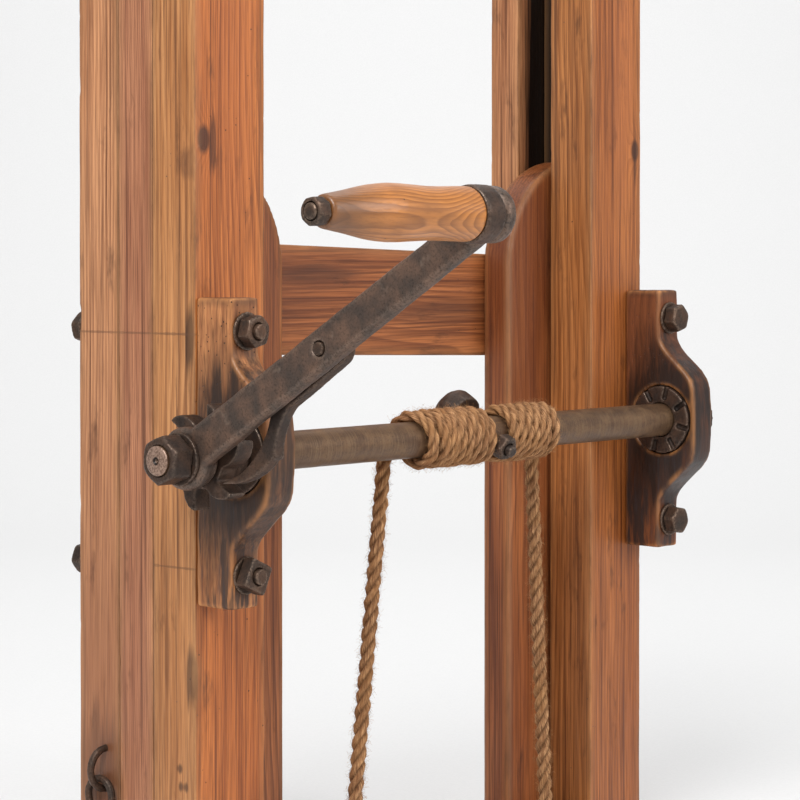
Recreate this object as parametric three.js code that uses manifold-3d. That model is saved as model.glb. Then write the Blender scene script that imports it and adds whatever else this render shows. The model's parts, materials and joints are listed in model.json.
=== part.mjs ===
// Hand-cranked rope hoist between two grooved wooden posts.
//
// Two built-up posts carry an iron shaft in wooden bearing blocks. A forged crank turns the shaft
// through a ratchet wheel, and two ropes wound on the shaft lift a carriage whose plates slide in
// the posts' grooves. Millimetres, +Z up, +X along the shaft away from the crank, +Y to the back.
// The origin is at the level of the posts' feet, midway between the posts and midway in their depth.
import * as THREE from 'three';
import { mergeVertices } from 'three/addons/utils/BufferGeometryUtils.js';
import Module from 'manifold-3d';

const wasm = await Module();
wasm.setup();

// ---- Driving dimensions ----

// Posts: a front stile and a back stile, held apart by a narrow strip that leaves a groove inside.
const frame_width = 508;
const post_height = 712;
const post_width = 67;
const front_stile_depth = 41;
const back_stile_depth = 40;
const right_post_planed_back = 12;
const groove_width = 33;
const groove_depth = 34;

// Carriage: a round-topped plate in each groove, a rail behind them and a bearer in front.
const plate_thickness = 27;
const plate_reach_in_groove = 31;
const left_plate_reach_inside = 66;
const right_plate_reach_inside = 50;
const plate_top = 560;
const plate_round = 88;
const carriage_foot = 2;
const rail_height = 81;
const rail_thickness = 27;
const rail_middle_height = 448;
const rail_tilt = THREE.MathUtils.degToRad(1.7);
const bearer_height = 36;
const bearer_depth = 38;
const end_clearance = 4;
const screw_radius = 4;
const screw_head_radius = 7.2;
const screw_head_rim = 1.2;
const screw_head_depth = 4.2;
const screw_slot_width = 1.8;
const screw_slot_depth = 1.1;
const screw_bite = 19;

// Shaft and its wooden bearing blocks.
const shaft_diameter = 26;
const axis_height = 352;
const axis_forward = 36;
const shaft_end_proud = 2;
const shaft_end_edge = 1;
const shaft_thread_step = 3.2;
const lathe_centre_radius = 3;
const lathe_centre_depth = 2.5;
const block_height = 207;
const block_thickness = 27;
const block_end_depth = 34;
const block_bulge_depth = 68;
const block_bulge_half = 26;
const block_slope_end = 67.5;
const right_block_overhang = 5;
const block_edge = 1.2;
const block_crown = 1.5;
const bush_radius = 27;
const bush_proud = 2;
const bush_notches = 8;
const bush_notch_depth = 3;
const bush_notch_width = 4;
const bush_notch_start = 3.5;
const bush_turn = 14;
const running_gap = 0.4;
const end_collar_gap = 3;
const end_collar_width = 14;
const end_collar_radius = 21;
const pin_radius = 2.5;
const pin_proud = 1;

// Bolts that hold the blocks through the whole depth of the posts.
const bolt_diameter = 11;
const bolt_from_middle = 81;
const bolt_across_flats = 20;
const bolt_nut_height = 10;
const bolt_end_proud = 2.5;
const bolt_turns = { lower: 20, upper: 45 };
const washer_radius = 13;
const washer_thickness = 2.5;

// Ratchet wheel, its teeth and the pawl that drives it.
const wheel_thickness = 15;
const wheel_from_block = 16;
const wheel_hub_radius = 19;
const wheel_hub_clearance = 4;
const tooth_count = 6;
const tooth_tip_radius = 36;
const tooth_root_radius = 21;
const tooth_phase = THREE.MathUtils.degToRad(-39);
const tooth_rake = THREE.MathUtils.degToRad(5);
const tooth_gap_share = 0.36;
const drive_pawl_thickness = 10;
const drive_pawl_edge = 0.8;
const drive_boss_radius = 12.4;

// Crank: a flat forged arm with an eye at each end and a wooden grip on a fixed spindle.
const crank_radius = 295.6;
const crank_angle = THREE.MathUtils.degToRad(31.65);
const arm_thickness = 11;
const arm_width = 27;
const arm_eye_width = 23;
const arm_chamfer = 2.5;
const arm_from_wheel = 6;
const hub_radius = 21;
const eye_radius = 17;
const rivet_from_axis = 141;
const rivet_radius = 4.5;
const rivet_proud = 0.6;
const rivet_head_radius = 8;
const rivet_head_height = 2.6;
const crank_washer_thickness = 3;
const crank_washer_radius = 17.6;
const crank_nut_height = 17;
const crank_nut_across_flats = 29;
const crank_nut_turn = 8;
const spindle_diameter = 10;
const spindle_head_radius = 8;
const spindle_head_height = 2.9;
const collar_length = 15;
const collar_radius = 17.4;
const collar_lip = 1.5;
const grip_tenon_radius = 14.5;
const grip_tenon_length = 9;
const grip_length = 123;
const grip_radii = [16.4, 15.9, 15.7, 16.4, 16.8, 15.2, 12.2, 9.6];
const grip_nut_height = 9;
const grip_nut_across_flats = 15.5;

// Ropes: two windings on the shaft, each with a fall that ends in a knot at the bearer.
const rope_diameter = 8.6;
const left_winding = { from: -78, to: 4 };
const right_winding = { from: 13, to: 80 };
const fall_spread = 31;
const fall_set_back = 8;
const fall_length = 306;
const knot_radius = 9.5;
const anchor_position = 8.5;
const anchor_tilt = 25;
const anchor_diameter = 9;
const anchor_head_radius = 19;
const anchor_head_rim = 10;
const anchor_head_dome = 12;
const anchor_head_above_rope = 1;
const anchor_nut_sunk = 6;
const anchor_nut_height = 9;
const anchor_nut_across_flats = 17;
const anchor_end_proud = 5;

// Staple and hanging ring low on the outside of the left post.
const staple_height = 129;
const staple_from_back = 26;
const staple_radius = 14;
const staple_leg = 16;
const staple_rod = 5.5;
const hang_ring_radius = 11.8;
const hang_ring_from_post = 9;

// Screw eyes under the knots, in the front of the bearer.
const eye_rod = 4.5;
const eye_ring_radius = 7.5;

// Rounding of every nut and bolt head, as a share of its height, and the slope of the rounding.
const nut_edge_share = 0.12;
const nut_edge_slope = 1.6;

// Faces that touch stay this far apart.
const fit = 0.3;

// ---- Sizes that follow from them ----

const half_width = frame_width / 2;
const post_depth = front_stile_depth + groove_width + back_stile_depth;
const front_face = -post_depth / 2;
const groove_front = front_face + front_stile_depth;
const groove_back = groove_front + groove_width;
const inner_face = half_width - post_width;
const strip_width = post_width - groove_depth;
const axis_y = front_face - axis_forward;
const shaft_radius = shaft_diameter / 2;
const rope_seat_radius = shaft_radius + rope_diameter / 2;
const rope_outside = rope_seat_radius + rope_diameter / 2;
const wheel_outer = -wheel_from_block - wheel_thickness;
const arm_inner = wheel_outer - arm_from_wheel;
const arm_outer = arm_inner - arm_thickness;
const crank_washer_outer = arm_outer - fit - crank_washer_thickness;
const crank_nut_outer = crank_washer_outer - fit - crank_nut_height;
const staple_y = -front_face - staple_from_back;
const plate_y = groove_front + (groove_width - plate_thickness) / 2;
const left = { name: 'left', sign: -1, overhang: 0, back: -front_face, reach: left_plate_reach_inside };
const right = {
  name: 'right', sign: 1, overhang: right_block_overhang, back: -front_face - right_post_planed_back,
  reach: right_plate_reach_inside,
};
const sides = [left, right];

// ---- Materials ----

const finish = (color, roughness, metalness) =>
  new THREE.MeshStandardMaterial({ color, roughness, metalness });
const stile_pine = () => finish(0xa8683c, 0.55, 0);
const strip_pine = () => finish(0xa86a52, 0.55, 0);
const carriage_pine = () => finish(0x8f5230, 0.55, 0);
const block_oak = () => finish(0x8a5c38, 0.6, 0);
const grip_wood = () => finish(0xb07a44, 0.5, 0);
const dark_iron = () => finish(0x4a4038, 0.55, 0.8);
const shaft_iron = () => finish(0x6d5f4c, 0.6, 0.7);
const bolt_iron = () => finish(0x4b3b30, 0.65, 0.7);
const jute = () => finish(0xa98052, 0.95, 0);

// ---- Solids ----

/** A closed solid from a three.js geometry, with its faces turned outwards. */
function solid(geometry) {
  const bare = geometry.clone();
  bare.deleteAttribute('normal');
  bare.deleteAttribute('uv');
  const merged = mergeVertices(bare, 1e-4);
  const place = merged.attributes.position.array;
  const triangles = [];
  let volume = 0;
  const [a, b, c] = [new THREE.Vector3(), new THREE.Vector3(), new THREE.Vector3()];
  for (let i = 0; i < merged.index.count; i += 3) {
    const corner = [0, 1, 2].map((k) => merged.index.getX(i + k));
    if (new Set(corner).size < 3) continue;
    [a, b, c].forEach((point, k) => point.fromArray(place, corner[k] * 3));
    volume += a.dot(b.clone().cross(c));
    triangles.push(corner);
  }
  if (volume < 0) triangles.forEach((corner) => corner.reverse());
  const mesh = new wasm.Mesh({
    numProp: 3,
    vertProperties: new Float32Array(place),
    triVerts: new Uint32Array(triangles.flat()),
  });
  return new wasm.Manifold(mesh);
}

/** The three.js geometry of a solid. */
function surface(body) {
  const mesh = body.getMesh();
  const geometry = new THREE.BufferGeometry();
  geometry.setAttribute('position', new THREE.BufferAttribute(mesh.vertProperties, 3));
  geometry.setIndex(new THREE.BufferAttribute(mesh.triVerts, 1));
  geometry.computeVertexNormals();
  return geometry;
}

/** A box between two corners. */
function block(x0, x1, y0, y1, z0, z1) {
  const geometry = new THREE.BoxGeometry(Math.abs(x1 - x0), Math.abs(y1 - y0), z1 - z0);
  geometry.translate((x0 + x1) / 2, (y0 + y1) / 2, (z0 + z1) / 2);
  return solid(geometry);
}

/** A round body on the X axis, from pairs of place along X and radius. */
function turned(profile, segments = 24) {
  const first = profile[0];
  const last = profile[profile.length - 1];
  const outline = [[first[0], 0], ...profile, [last[0], 0]];
  const geometry = new THREE.LatheGeometry(
    outline.map(([along, radius]) => new THREE.Vector2(radius, along)), segments);
  geometry.rotateZ(-Math.PI / 2);
  return solid(geometry);
}

/** A straight round bar along X. */
const bar = (x0, x1, radius, segments = 24) => turned([[x0, radius], [x1, radius]], segments);

/** A round bar along X that is longer than the hoist, to cut a hole right through a piece. */
const bore = (radius, segments = 24) => bar(-2 * frame_width, 2 * frame_width, radius, segments);

/** A round bar along Y, from y0 to y1. */
const bar_y = (y0, y1, radius, x, z, segments = 16) =>
  bar(y0, y1, radius, segments).rotate([0, 0, 90]).translate([x, 0, z]);

/** A flat shape drawn as forward and up, made thick from x0 to x1. */
function plate(shape, x0, x1, curve_segments = 12, edge = 0) {
  const geometry = new THREE.ExtrudeGeometry(shape, {
    depth: x1 - x0 - 2 * edge,
    curveSegments: curve_segments,
    bevelEnabled: edge > 0,
    bevelThickness: edge,
    bevelSize: edge,
    bevelOffset: -edge,
    bevelSegments: 1,
  });
  geometry.translate(0, 0, edge);
  geometry.rotateX(Math.PI / 2);
  geometry.rotateZ(-Math.PI / 2);
  geometry.translate(x1, 0, 0);
  return solid(geometry);
}

/** A polygon of flats, such as a nut, along X from the origin, with its outer corners rounded off. */
function nut(height, across_flats, flats, bore_radius, bore_segments = 16) {
  const corner = across_flats / 2 / Math.cos(Math.PI / flats);
  const edge = Math.min(height, corner) * nut_edge_share;
  const top_radius = corner - edge * nut_edge_slope;
  const outside = turned([[0, corner], [height - edge, corner], [height, top_radius]], 16);
  const shaped = bar(0, height, corner, flats).intersect(outside);
  return bore_radius ? shaped.subtract(bore(bore_radius, bore_segments)) : shaped;
}

/** A rod bent along a curve. */
function rod(curve, diameter, steps) {
  const section = new THREE.Shape();
  section.absarc(0, 0, diameter / 2, 0, Math.PI * 2);
  return solid(new THREE.ExtrudeGeometry(section, {
    steps, extrudePath: curve, bevelEnabled: false, curveSegments: 5,
  }));
}

/** A point given as distance forward of the axis and height above it. */
const point = (forward, up) => new THREE.Vector2(forward, up);

/** A named mesh in its group, at a place and turn there. */
function add(parent, name, body, material, place = [0, 0, 0], turn = [0, 0, 0]) {
  const mesh = new THREE.Mesh(surface(body), material);
  mesh.name = name;
  mesh.position.set(...place);
  mesh.rotation.set(...turn);
  parent.add(mesh);
}

function group(parent, place = [0, 0, 0], turn = [0, 0, 0]) {
  const made = new THREE.Group();
  made.position.set(...place);
  made.rotation.set(...turn);
  parent.add(made);
  return made;
}

const hoist = new THREE.Group();

// ---- Posts ----

const bolt_heights = [axis_height - bolt_from_middle, axis_height + bolt_from_middle];
const block_middle = (side) => side.sign * (half_width - block_thickness / 2 + side.overhang);

/** The holes for the two block bolts of one post, through its whole depth. */
function bolt_holes(side) {
  const reach = block_bulge_depth + post_depth;
  const holes = bolt_heights.map((height) =>
    bar_y(-reach, reach, bolt_diameter / 2 + fit, block_middle(side), height));
  return wasm.Manifold.union(holes);
}

/** The two legs of the staple inside the left post, or the holes that they fit with a gap. */
function staple_legs(gap = 0) {
  const leg = bar(-fit, staple_leg + gap, staple_rod / 2 + gap, 12);
  const legs = [-staple_radius, staple_radius].map((up) =>
    leg.translate([-half_width, staple_y, staple_height + up]));
  return wasm.Manifold.union(legs);
}

/** The part of a post between two distances in from its outer face, and two depths. */
function stile(side, out0, out1, y0, y1) {
  const x0 = side.sign * (half_width - out0);
  const x1 = side.sign * (half_width - out1);
  return block(x0, x1, y0, y1, 0, post_height).subtract(bolt_holes(side)).subtract(staple_legs(fit));
}

for (const side of sides) {
  add(hoist, `${side.name}_front_stile`,
    stile(side, 0, post_width, front_face, groove_front - fit / 2), stile_pine());
  add(hoist, `${side.name}_groove_strip`,
    stile(side, 0, strip_width, groove_front + fit / 2, groove_back - fit / 2), strip_pine());
  add(hoist, `${side.name}_back_stile`,
    stile(side, 0, post_width, groove_back + fit / 2, side.back), stile_pine());
}

// ---- Carriage ----

/** A plate that slides in one groove, with its top inner corner rounded off. */
function carriage_plate(side) {
  const groove_edge = inner_face + plate_reach_in_groove;
  const inside_edge = inner_face - side.reach;
  const round_middle = new THREE.Vector2(inside_edge + plate_round, plate_top - plate_round);
  const round_start = Math.acos(Math.min(0, (groove_edge - round_middle.x) / plate_round));
  const shape = new THREE.Shape();
  shape.moveTo(groove_edge, carriage_foot);
  shape.lineTo(groove_edge, round_middle.y + plate_round * Math.sin(round_start));
  shape.absarc(round_middle.x, round_middle.y, plate_round, round_start, Math.PI);
  shape.lineTo(inside_edge, carriage_foot);
  const geometry = new THREE.ExtrudeGeometry(shape, {
    depth: plate_thickness, bevelEnabled: false, curveSegments: 20,
  });
  geometry.rotateX(Math.PI / 2);
  geometry.translate(0, plate_y + plate_thickness, 0);
  const made = solid(geometry);
  return side.sign > 0 ? made : made.mirror([1, 0, 0]);
}

const inside_half = inner_face - end_clearance;
const rail_front = plate_y + plate_thickness + fit;
const bearer_back = plate_y - fit;
const bearer_front = bearer_back - bearer_depth;
const screw_x = (side) => side.sign * (inner_face - side.reach / 2);

/** A wood screw let in flush, pointing along Y by direction, or the hole that it fits with a gap. */
function wood_screw({ x, y, z, direction, through }, gap = 0) {
  const head = screw_head_radius + gap;
  const thread = screw_radius + gap;
  const long = through + screw_bite + gap;
  const made = turned([
    [-gap * 3, head], [screw_head_rim, head], [screw_head_depth, thread], [long, thread]], 12);
  const slot_half = screw_slot_width / 2;
  const slotted = gap ? made : made.subtract(
    block(-screw_slot_depth, screw_slot_depth, -slot_half, slot_half, -2 * head, 2 * head));
  return slotted.rotate([0, 0, 90 * direction]).translate([x, y, z]);
}

const carriage_screws = sides.flatMap((side) => {
  const x = screw_x(side);
  const rail_z = rail_middle_height - Math.sin(rail_tilt) * x;
  const bearer_z = carriage_foot + bearer_height / 2;
  const from_back = { y: rail_front + rail_thickness, direction: -1, through: rail_thickness };
  const from_front = { y: bearer_front, direction: 1, through: bearer_depth };
  return [
    { name: `${side.name}_rail_screw`, x, z: rail_z, ...from_back },
    { name: `${side.name}_bearer_screw`, x, z: bearer_z, ...from_front },
  ];
});
const carriage_holes = wasm.Manifold.union(carriage_screws.map((screw) => wood_screw(screw, fit)));

for (const side of sides) {
  add(hoist, `${side.name}_carriage_plate`,
    carriage_plate(side).subtract(carriage_holes), carriage_pine());
}
const rail = block(-inside_half, inside_half, 0, rail_thickness, -rail_height / 2, rail_height / 2)
  .rotate([0, THREE.MathUtils.radToDeg(rail_tilt), 0])
  .translate([0, rail_front, rail_middle_height]);
add(hoist, 'cross_rail', rail.subtract(carriage_holes), carriage_pine());
add(hoist, 'tray_bearer',
  block(-inside_half, inside_half, bearer_front, bearer_back,
    carriage_foot, carriage_foot + bearer_height).subtract(carriage_holes), carriage_pine());
for (const screw of carriage_screws) add(hoist, screw.name, wood_screw(screw), bolt_iron());

// ---- Bearing blocks ----

/** How far a block stands out from the post at a height from its middle. */
function block_depth(height) {
  const slope = (Math.abs(height) - block_bulge_half) / (block_slope_end - block_bulge_half);
  const ease = THREE.MathUtils.smoothstep(slope, 0, 1);
  const crown = block_crown * Math.min(1, Math.abs(height) / block_bulge_half) ** 2;
  return THREE.MathUtils.lerp(block_bulge_depth - crown, block_end_depth, ease);
}

const block_shape = new THREE.Shape();
const outline_steps = 32;
block_shape.moveTo(-axis_forward + fit, block_height / 2);
for (let i = 0; i <= outline_steps; i++) {
  const height = block_height * (0.5 - i / outline_steps);
  block_shape.lineTo(block_depth(height) - axis_forward, height);
}
block_shape.lineTo(-axis_forward + fit, -block_height / 2);

/** An iron bush from x0, with notches filed in its inner face: the low end if inward is negative. */
function bush(x0, inward) {
  const x1 = x0 + block_thickness + bush_proud;
  let made = bar(x0, x1, bush_radius, 36).subtract(bore(shaft_radius + running_gap, 32));
  const notch_middle = inward < 0 ? x0 : x1;
  const half = bush_notch_width / 2;
  for (let i = 0; i < bush_notches; i++) {
    const notch = block(notch_middle - bush_notch_depth, notch_middle + bush_notch_depth,
      -half, half, shaft_radius + bush_notch_start, 2 * bush_radius);
    made = made.subtract(notch.rotate([360 / bush_notches * i + bush_turn, 0, 0]));
  }
  return made;
}

for (const side of sides) {
  const holder = group(hoist, [block_middle(side), axis_y, axis_height]);
  const half = block_thickness / 2;
  const wood = plate(block_shape, -half, half, 12, block_edge)
    .subtract(bore(bush_radius + fit, 36))
    .subtract(bolt_holes(side).translate([-block_middle(side), -axis_y, -axis_height]));
  add(holder, `${side.name}_bearing_block`, wood, block_oak());
  const inward = -side.sign;
  const x0 = inward > 0 ? -half : -half - bush_proud;
  add(holder, `${side.name}_bearing_bush`, bush(x0, inward), dark_iron());
}

// ---- Block bolts: the left pair has its nuts in front, the right pair its heads ----

/** One washer seated on a face at y, on the side that direction points to. */
function washer(x, y, z, direction) {
  const low = Math.min(y + direction * fit, y + direction * washer_thickness);
  const hole = bar_y(-2 * post_depth, 2 * post_depth, bolt_diameter / 2 + fit, x, z);
  return bar_y(low, low + washer_thickness - fit, washer_radius, x, z).subtract(hole);
}

/** A nut or head along Y, pointing the way that direction says. */
function nut_y(x, y, z, direction, flats, bored, turn) {
  const made = nut(bolt_nut_height, bolt_across_flats, flats, bored ? bolt_diameter / 2 + fit : 0);
  return made.rotate([turn, 0, 0]).rotate([0, 0, 90 * direction]).translate([x, y, z]);
}

for (const side of sides) {
  const x = block_middle(side);
  const nut_direction = side === left ? -1 : 1;
  const front_seat = front_face - block_end_depth - washer_thickness - fit;
  const back_seat = side.back + washer_thickness + fit;
  const nut_seat = nut_direction < 0 ? front_seat : back_seat;
  const head_seat = nut_direction < 0 ? back_seat : front_seat;
  bolt_heights.forEach((z, i) => {
    const level = i === 0 ? 'lower' : 'upper';
    const name = `${side.name}_${level}`;
    const flats = side === left && i === 0 ? 4 : 6;
    const turn = bolt_turns[level];
    const end = nut_seat + nut_direction * (bolt_nut_height + bolt_end_proud);
    const root = head_seat - nut_direction * bolt_nut_height / 2;
    const shank = bar_y(Math.min(end, root), Math.max(end, root), bolt_diameter / 2, x, z);
    add(hoist, `${name}_bolt`,
      shank.add(nut_y(x, head_seat, z, -nut_direction, 6, false, turn)), bolt_iron());
    add(hoist, `${name}_nut`, nut_y(x, nut_seat, z, nut_direction, flats, true, turn), bolt_iron());
    add(hoist, `${name}_front_washer`, washer(x, front_face - block_end_depth, z, -1), bolt_iron());
    add(hoist, `${name}_back_washer`, washer(x, side.back, z, 1), bolt_iron());
  });
}

// ---- Shaft, with everything on it placed from the outer face of the left post ----

const drum = group(hoist, [-half_width, axis_y, axis_height]);
const shaft_left = crank_nut_outer - shaft_end_proud;
const shaft_shoulder = crank_washer_outer + fit;
const collar_x0 = frame_width + right_block_overhang + end_collar_gap;
const collar_x1 = collar_x0 + end_collar_width;
const shaft_right = collar_x1 + shaft_end_proud;
const anchor_x = half_width + anchor_position;
const wheel_pin_x = -(wheel_from_block + wheel_hub_clearance) / 2;
const end_pin_x = (collar_x0 + collar_x1) / 2;
const shaft_bore = bore(shaft_radius + fit, 32);

/** A body drawn along X, turned to stand up across the shaft at a place along it. */
const across = (body, x, tilt = 0) => body.rotate([0, -90, 0]).rotate([tilt, 0, 0]).translate([x, 0, 0]);

/** A pin across the shaft and the piece around it, whose radius is given. */
const cross_pin = (x, around) => across(bar(-around - pin_proud, around + pin_proud, pin_radius, 16), x);

const anchor_hole = across(bore(anchor_diameter / 2 + fit, 16), anchor_x, anchor_tilt - 90);
const wheel_pin_hole = across(bore(pin_radius + fit, 16), wheel_pin_x);
const end_pin_hole = across(bore(pin_radius + fit, 16), end_pin_x);
const lathe_centre = turned([
  [shaft_left - 1, lathe_centre_radius], [shaft_left + lathe_centre_depth, lathe_centre_radius / 8]], 16);
const thread_radius = shaft_radius - shaft_thread_step;
const shaft = turned([
  [shaft_left, thread_radius - shaft_end_edge], [shaft_left + shaft_end_edge, thread_radius],
  [shaft_shoulder, thread_radius], [shaft_shoulder + fit, shaft_radius],
  [shaft_right - shaft_end_edge, shaft_radius], [shaft_right, shaft_radius - shaft_end_edge]], 32);
add(drum, 'drum_shaft',
  shaft.subtract(lathe_centre).subtract(anchor_hole).subtract(wheel_pin_hole).subtract(end_pin_hole),
  shaft_iron());

// End collar and its pin, outside the right block.
add(drum, 'end_collar',
  bar(collar_x0, collar_x1, end_collar_radius).subtract(shaft_bore).subtract(end_pin_hole), dark_iron());
add(drum, 'end_collar_pin', cross_pin(end_pin_x, end_collar_radius), bolt_iron());

// Rope anchor bolt: a domed head behind the windings and a nut in front, half sunk between them.
const anchor_nut_seat = -rope_outside + anchor_nut_sunk;
const anchor_head_seat = rope_outside + anchor_head_above_rope;
const dome_steps = 6;
const dome = Array.from({ length: dome_steps + 1 }, (_, i) => {
  const angle = (i / dome_steps) * Math.PI / 2;
  const along = anchor_head_seat + anchor_head_rim + anchor_head_dome * Math.sin(angle);
  return [along, Math.max(anchor_head_radius * Math.cos(angle), 0.01)];
});
const anchor_bolt = turned([
  [anchor_nut_seat - anchor_nut_height - anchor_end_proud, anchor_diameter / 2],
  [anchor_head_seat, anchor_diameter / 2],
  [anchor_head_seat, anchor_head_radius - shaft_end_edge], ...dome], 24);
add(drum, 'rope_anchor_bolt', across(anchor_bolt, anchor_x, anchor_tilt - 90), dark_iron());
const anchor_nut = nut(anchor_nut_height, anchor_nut_across_flats, 6, anchor_diameter / 2 + fit)
  .rotate([0, 180, 0]).translate([anchor_nut_seat - fit, 0, 0]);
add(drum, 'rope_anchor_nut', across(anchor_nut, anchor_x, anchor_tilt - 90), bolt_iron());

// ---- Ratchet wheel ----

const wheel_shape = new THREE.Shape();
const pitch = (2 * Math.PI) / tooth_count;
const root_steps = 3;
const back_steps = 7;
const rim = (radius, angle) => point(radius * Math.cos(angle), radius * Math.sin(angle));
for (let i = 0; i < tooth_count; i++) {
  const tip = tooth_phase + pitch * i;
  const gap = pitch * tooth_gap_share;
  const outline = [rim(tooth_tip_radius, tip), rim(tooth_root_radius, tip - tooth_rake)];
  for (let k = 0; k <= root_steps; k++) {
    outline.push(rim(tooth_root_radius, tip + gap * k / (root_steps + 1)));
  }
  for (let k = 0; k < back_steps; k++) {
    const share = k / back_steps;
    const radius = THREE.MathUtils.lerp(tooth_root_radius, tooth_tip_radius, Math.sin(share * Math.PI / 2));
    outline.push(rim(radius, tip + gap + (pitch - gap) * share));
  }
  outline.forEach((at, k) => (i + k === 0 ? wheel_shape.moveTo(at.x, at.y) : wheel_shape.lineTo(at.x, at.y)));
}
const wheel = plate(wheel_shape, wheel_outer, -wheel_from_block)
  .add(bar(wheel_outer + wheel_thickness / 2, -wheel_hub_clearance, wheel_hub_radius, 28))
  .subtract(shaft_bore).subtract(wheel_pin_hole);
add(drum, 'ratchet_wheel', wheel, dark_iron());
add(drum, 'ratchet_wheel_pin', cross_pin(wheel_pin_x, wheel_hub_radius), bolt_iron());

// ---- Crank arm, drawn level and turned up by the crank's angle ----

const crank = group(drum, [0, 0, 0], [-crank_angle, 0, 0]);
const arm_shape = new THREE.Shape();
const half_arm = arm_width / 2;
const half_eye_end = arm_eye_width / 2;
const hub_turn = Math.asin(half_arm / hub_radius);
const eye_turn = Math.asin(half_eye_end / eye_radius);
arm_shape.moveTo(hub_radius * Math.cos(hub_turn), half_arm);
arm_shape.absarc(0, 0, hub_radius, hub_turn, 2 * Math.PI - hub_turn);
arm_shape.lineTo(crank_radius - eye_radius * Math.cos(eye_turn), -half_eye_end);
arm_shape.absarc(crank_radius, 0, eye_radius, eye_turn - Math.PI, Math.PI - eye_turn);
const arm_boss = bar(arm_inner - arm_chamfer, wheel_outer - 4 * fit, wheel_hub_radius, 28);
const arm = plate(arm_shape, arm_outer, arm_inner, 16, arm_chamfer)
  .add(arm_boss)
  .subtract(shaft_bore)
  .subtract(bore(rivet_radius + fit, 20).translate([0, -rivet_from_axis, 0]))
  .subtract(bore(spindle_diameter / 2 + fit, 20).translate([0, -crank_radius, 0]));
add(crank, 'crank_arm', arm, dark_iron());

// Washer and nut on the shaft's end, outside the arm.
add(drum, 'crank_washer',
  bar(crank_washer_outer, arm_outer - fit, crank_washer_radius).subtract(shaft_bore), dark_iron());
const crank_nut = nut(crank_nut_height, crank_nut_across_flats, 6, thread_radius + fit, 32)
  .rotate([0, 180, 0]).translate([crank_washer_outer - fit, 0, 0]).rotate([crank_nut_turn, 0, 0]);
add(drum, 'crank_nut', crank_nut, dark_iron());

// ---- Drive pawl on the arm's rivet ----

const pawl_pivot = point(rivet_from_axis * Math.cos(crank_angle), rivet_from_axis * Math.sin(crank_angle));
const drive_outer = arm_inner + 1;
const drive_inner = drive_outer + drive_pawl_thickness;

/** A point of the pawl's nose, in tooth tip radii from the wheel's middle. */
const nose = (forward, up) => [forward * tooth_tip_radius, up * tooth_tip_radius];

/** A point of the pawl's neck: a share of the way from its heel to the rivet, and a little aside. */
function neck(share, aside) {
  const heel = point(...nose(1.99, 0.24));
  const along = pawl_pivot.clone().sub(heel);
  const across_neck = point(-along.y, along.x).normalize().multiplyScalar(aside);
  const at = heel.addScaledVector(along, share).add(across_neck);
  return [at.x, at.y];
}

const drive_shape = new THREE.Shape();
drive_shape.moveTo(...nose(0.625, -0.439));
drive_shape.lineTo(...nose(1.056, -0.422));
drive_shape.quadraticCurveTo(...nose(1.556, -0.319), ...nose(1.861, 0.014));
drive_shape.lineTo(...nose(1.986, 0.083));
drive_shape.lineTo(...nose(1.99, 0.24));
drive_shape.quadraticCurveTo(...neck(0.21, 8.2), ...neck(0.36, 6));
drive_shape.quadraticCurveTo(...neck(0.62, -2), pawl_pivot.x + drive_boss_radius * 0.7,
  pawl_pivot.y - drive_boss_radius * 0.72);
drive_shape.absarc(pawl_pivot.x, pawl_pivot.y, drive_boss_radius, -Math.PI / 4, Math.PI * 0.72);
drive_shape.quadraticCurveTo(...neck(0.48, 18), ...neck(0.21, 17.5));
drive_shape.quadraticCurveTo(...nose(1.778, 0.389), ...nose(1.444, 0.042));
drive_shape.quadraticCurveTo(...nose(1.194, -0.222), ...nose(0.806, -0.35));
const drive_pawl = plate(drive_shape, drive_outer, drive_inner, 8, drive_pawl_edge)
  .subtract(bore(rivet_radius + fit, 20).translate([0, -pawl_pivot.x, pawl_pivot.y]));
add(drum, 'drive_pawl', drive_pawl, dark_iron());

// The rivet holds the pawl to the arm: nearly flush outside, with a wider head inside.
const rivet_seat = drive_inner + fit;
const rivet_head_edge = rivet_head_height / 2;
const rivet = turned([
  [arm_outer - rivet_proud, rivet_radius - 2 * rivet_proud], [arm_outer - rivet_proud / 2, rivet_radius],
  [rivet_seat, rivet_radius], [rivet_seat, rivet_head_radius],
  [rivet_seat + rivet_head_edge, rivet_head_radius], [rivet_seat + rivet_head_height, rivet_radius]], 20);
add(crank, 'pawl_rivet', rivet, bolt_iron(), [0, -rivet_from_axis, 0]);

// ---- Grip on its spindle: a tenon of the grip sits in the collar next to the arm's eye ----

const handle = group(crank, [arm_outer, -crank_radius, 0]);
const spindle_radius = spindle_diameter / 2;
const spindle_room = bore(spindle_radius + running_gap);
const collar_end = -2 * fit - collar_length;
const grip_start = collar_end - collar_lip - fit;
const grip_end = collar_end - grip_length;
const collar = turned([
  [collar_end - collar_lip, collar_radius - 2 * collar_lip], [collar_end - collar_lip, collar_radius - 1],
  [collar_end, collar_radius], [-fit - collar_lip, collar_radius], [-fit, collar_radius - 1]]);
const tenon_end = collar_end + grip_tenon_length;
const tenon_room = bar(collar_end - 2 * collar_lip, tenon_end + fit, grip_tenon_radius + fit);
add(handle, 'grip_collar', collar.subtract(spindle_room).subtract(tenon_room), dark_iron());
const grip_curve = new THREE.SplineCurve(grip_radii.map((radius, i) =>
  new THREE.Vector2(THREE.MathUtils.lerp(grip_start, grip_end, i / (grip_radii.length - 1)), radius)));
const grip_profile = grip_curve.getPoints(14).map((at) => [at.x, at.y]);
add(handle, 'grip', turned([
  [tenon_end, grip_tenon_radius - 2 * fit], [tenon_end - 2 * fit, grip_tenon_radius],
  [grip_start, grip_tenon_radius], ...grip_profile, [grip_end - 2 * fit, grip_radii.at(-1) - 4 * fit]])
  .subtract(spindle_room), grip_wood());
const grip_nut_seat = grip_end - 4 * fit;
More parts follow.
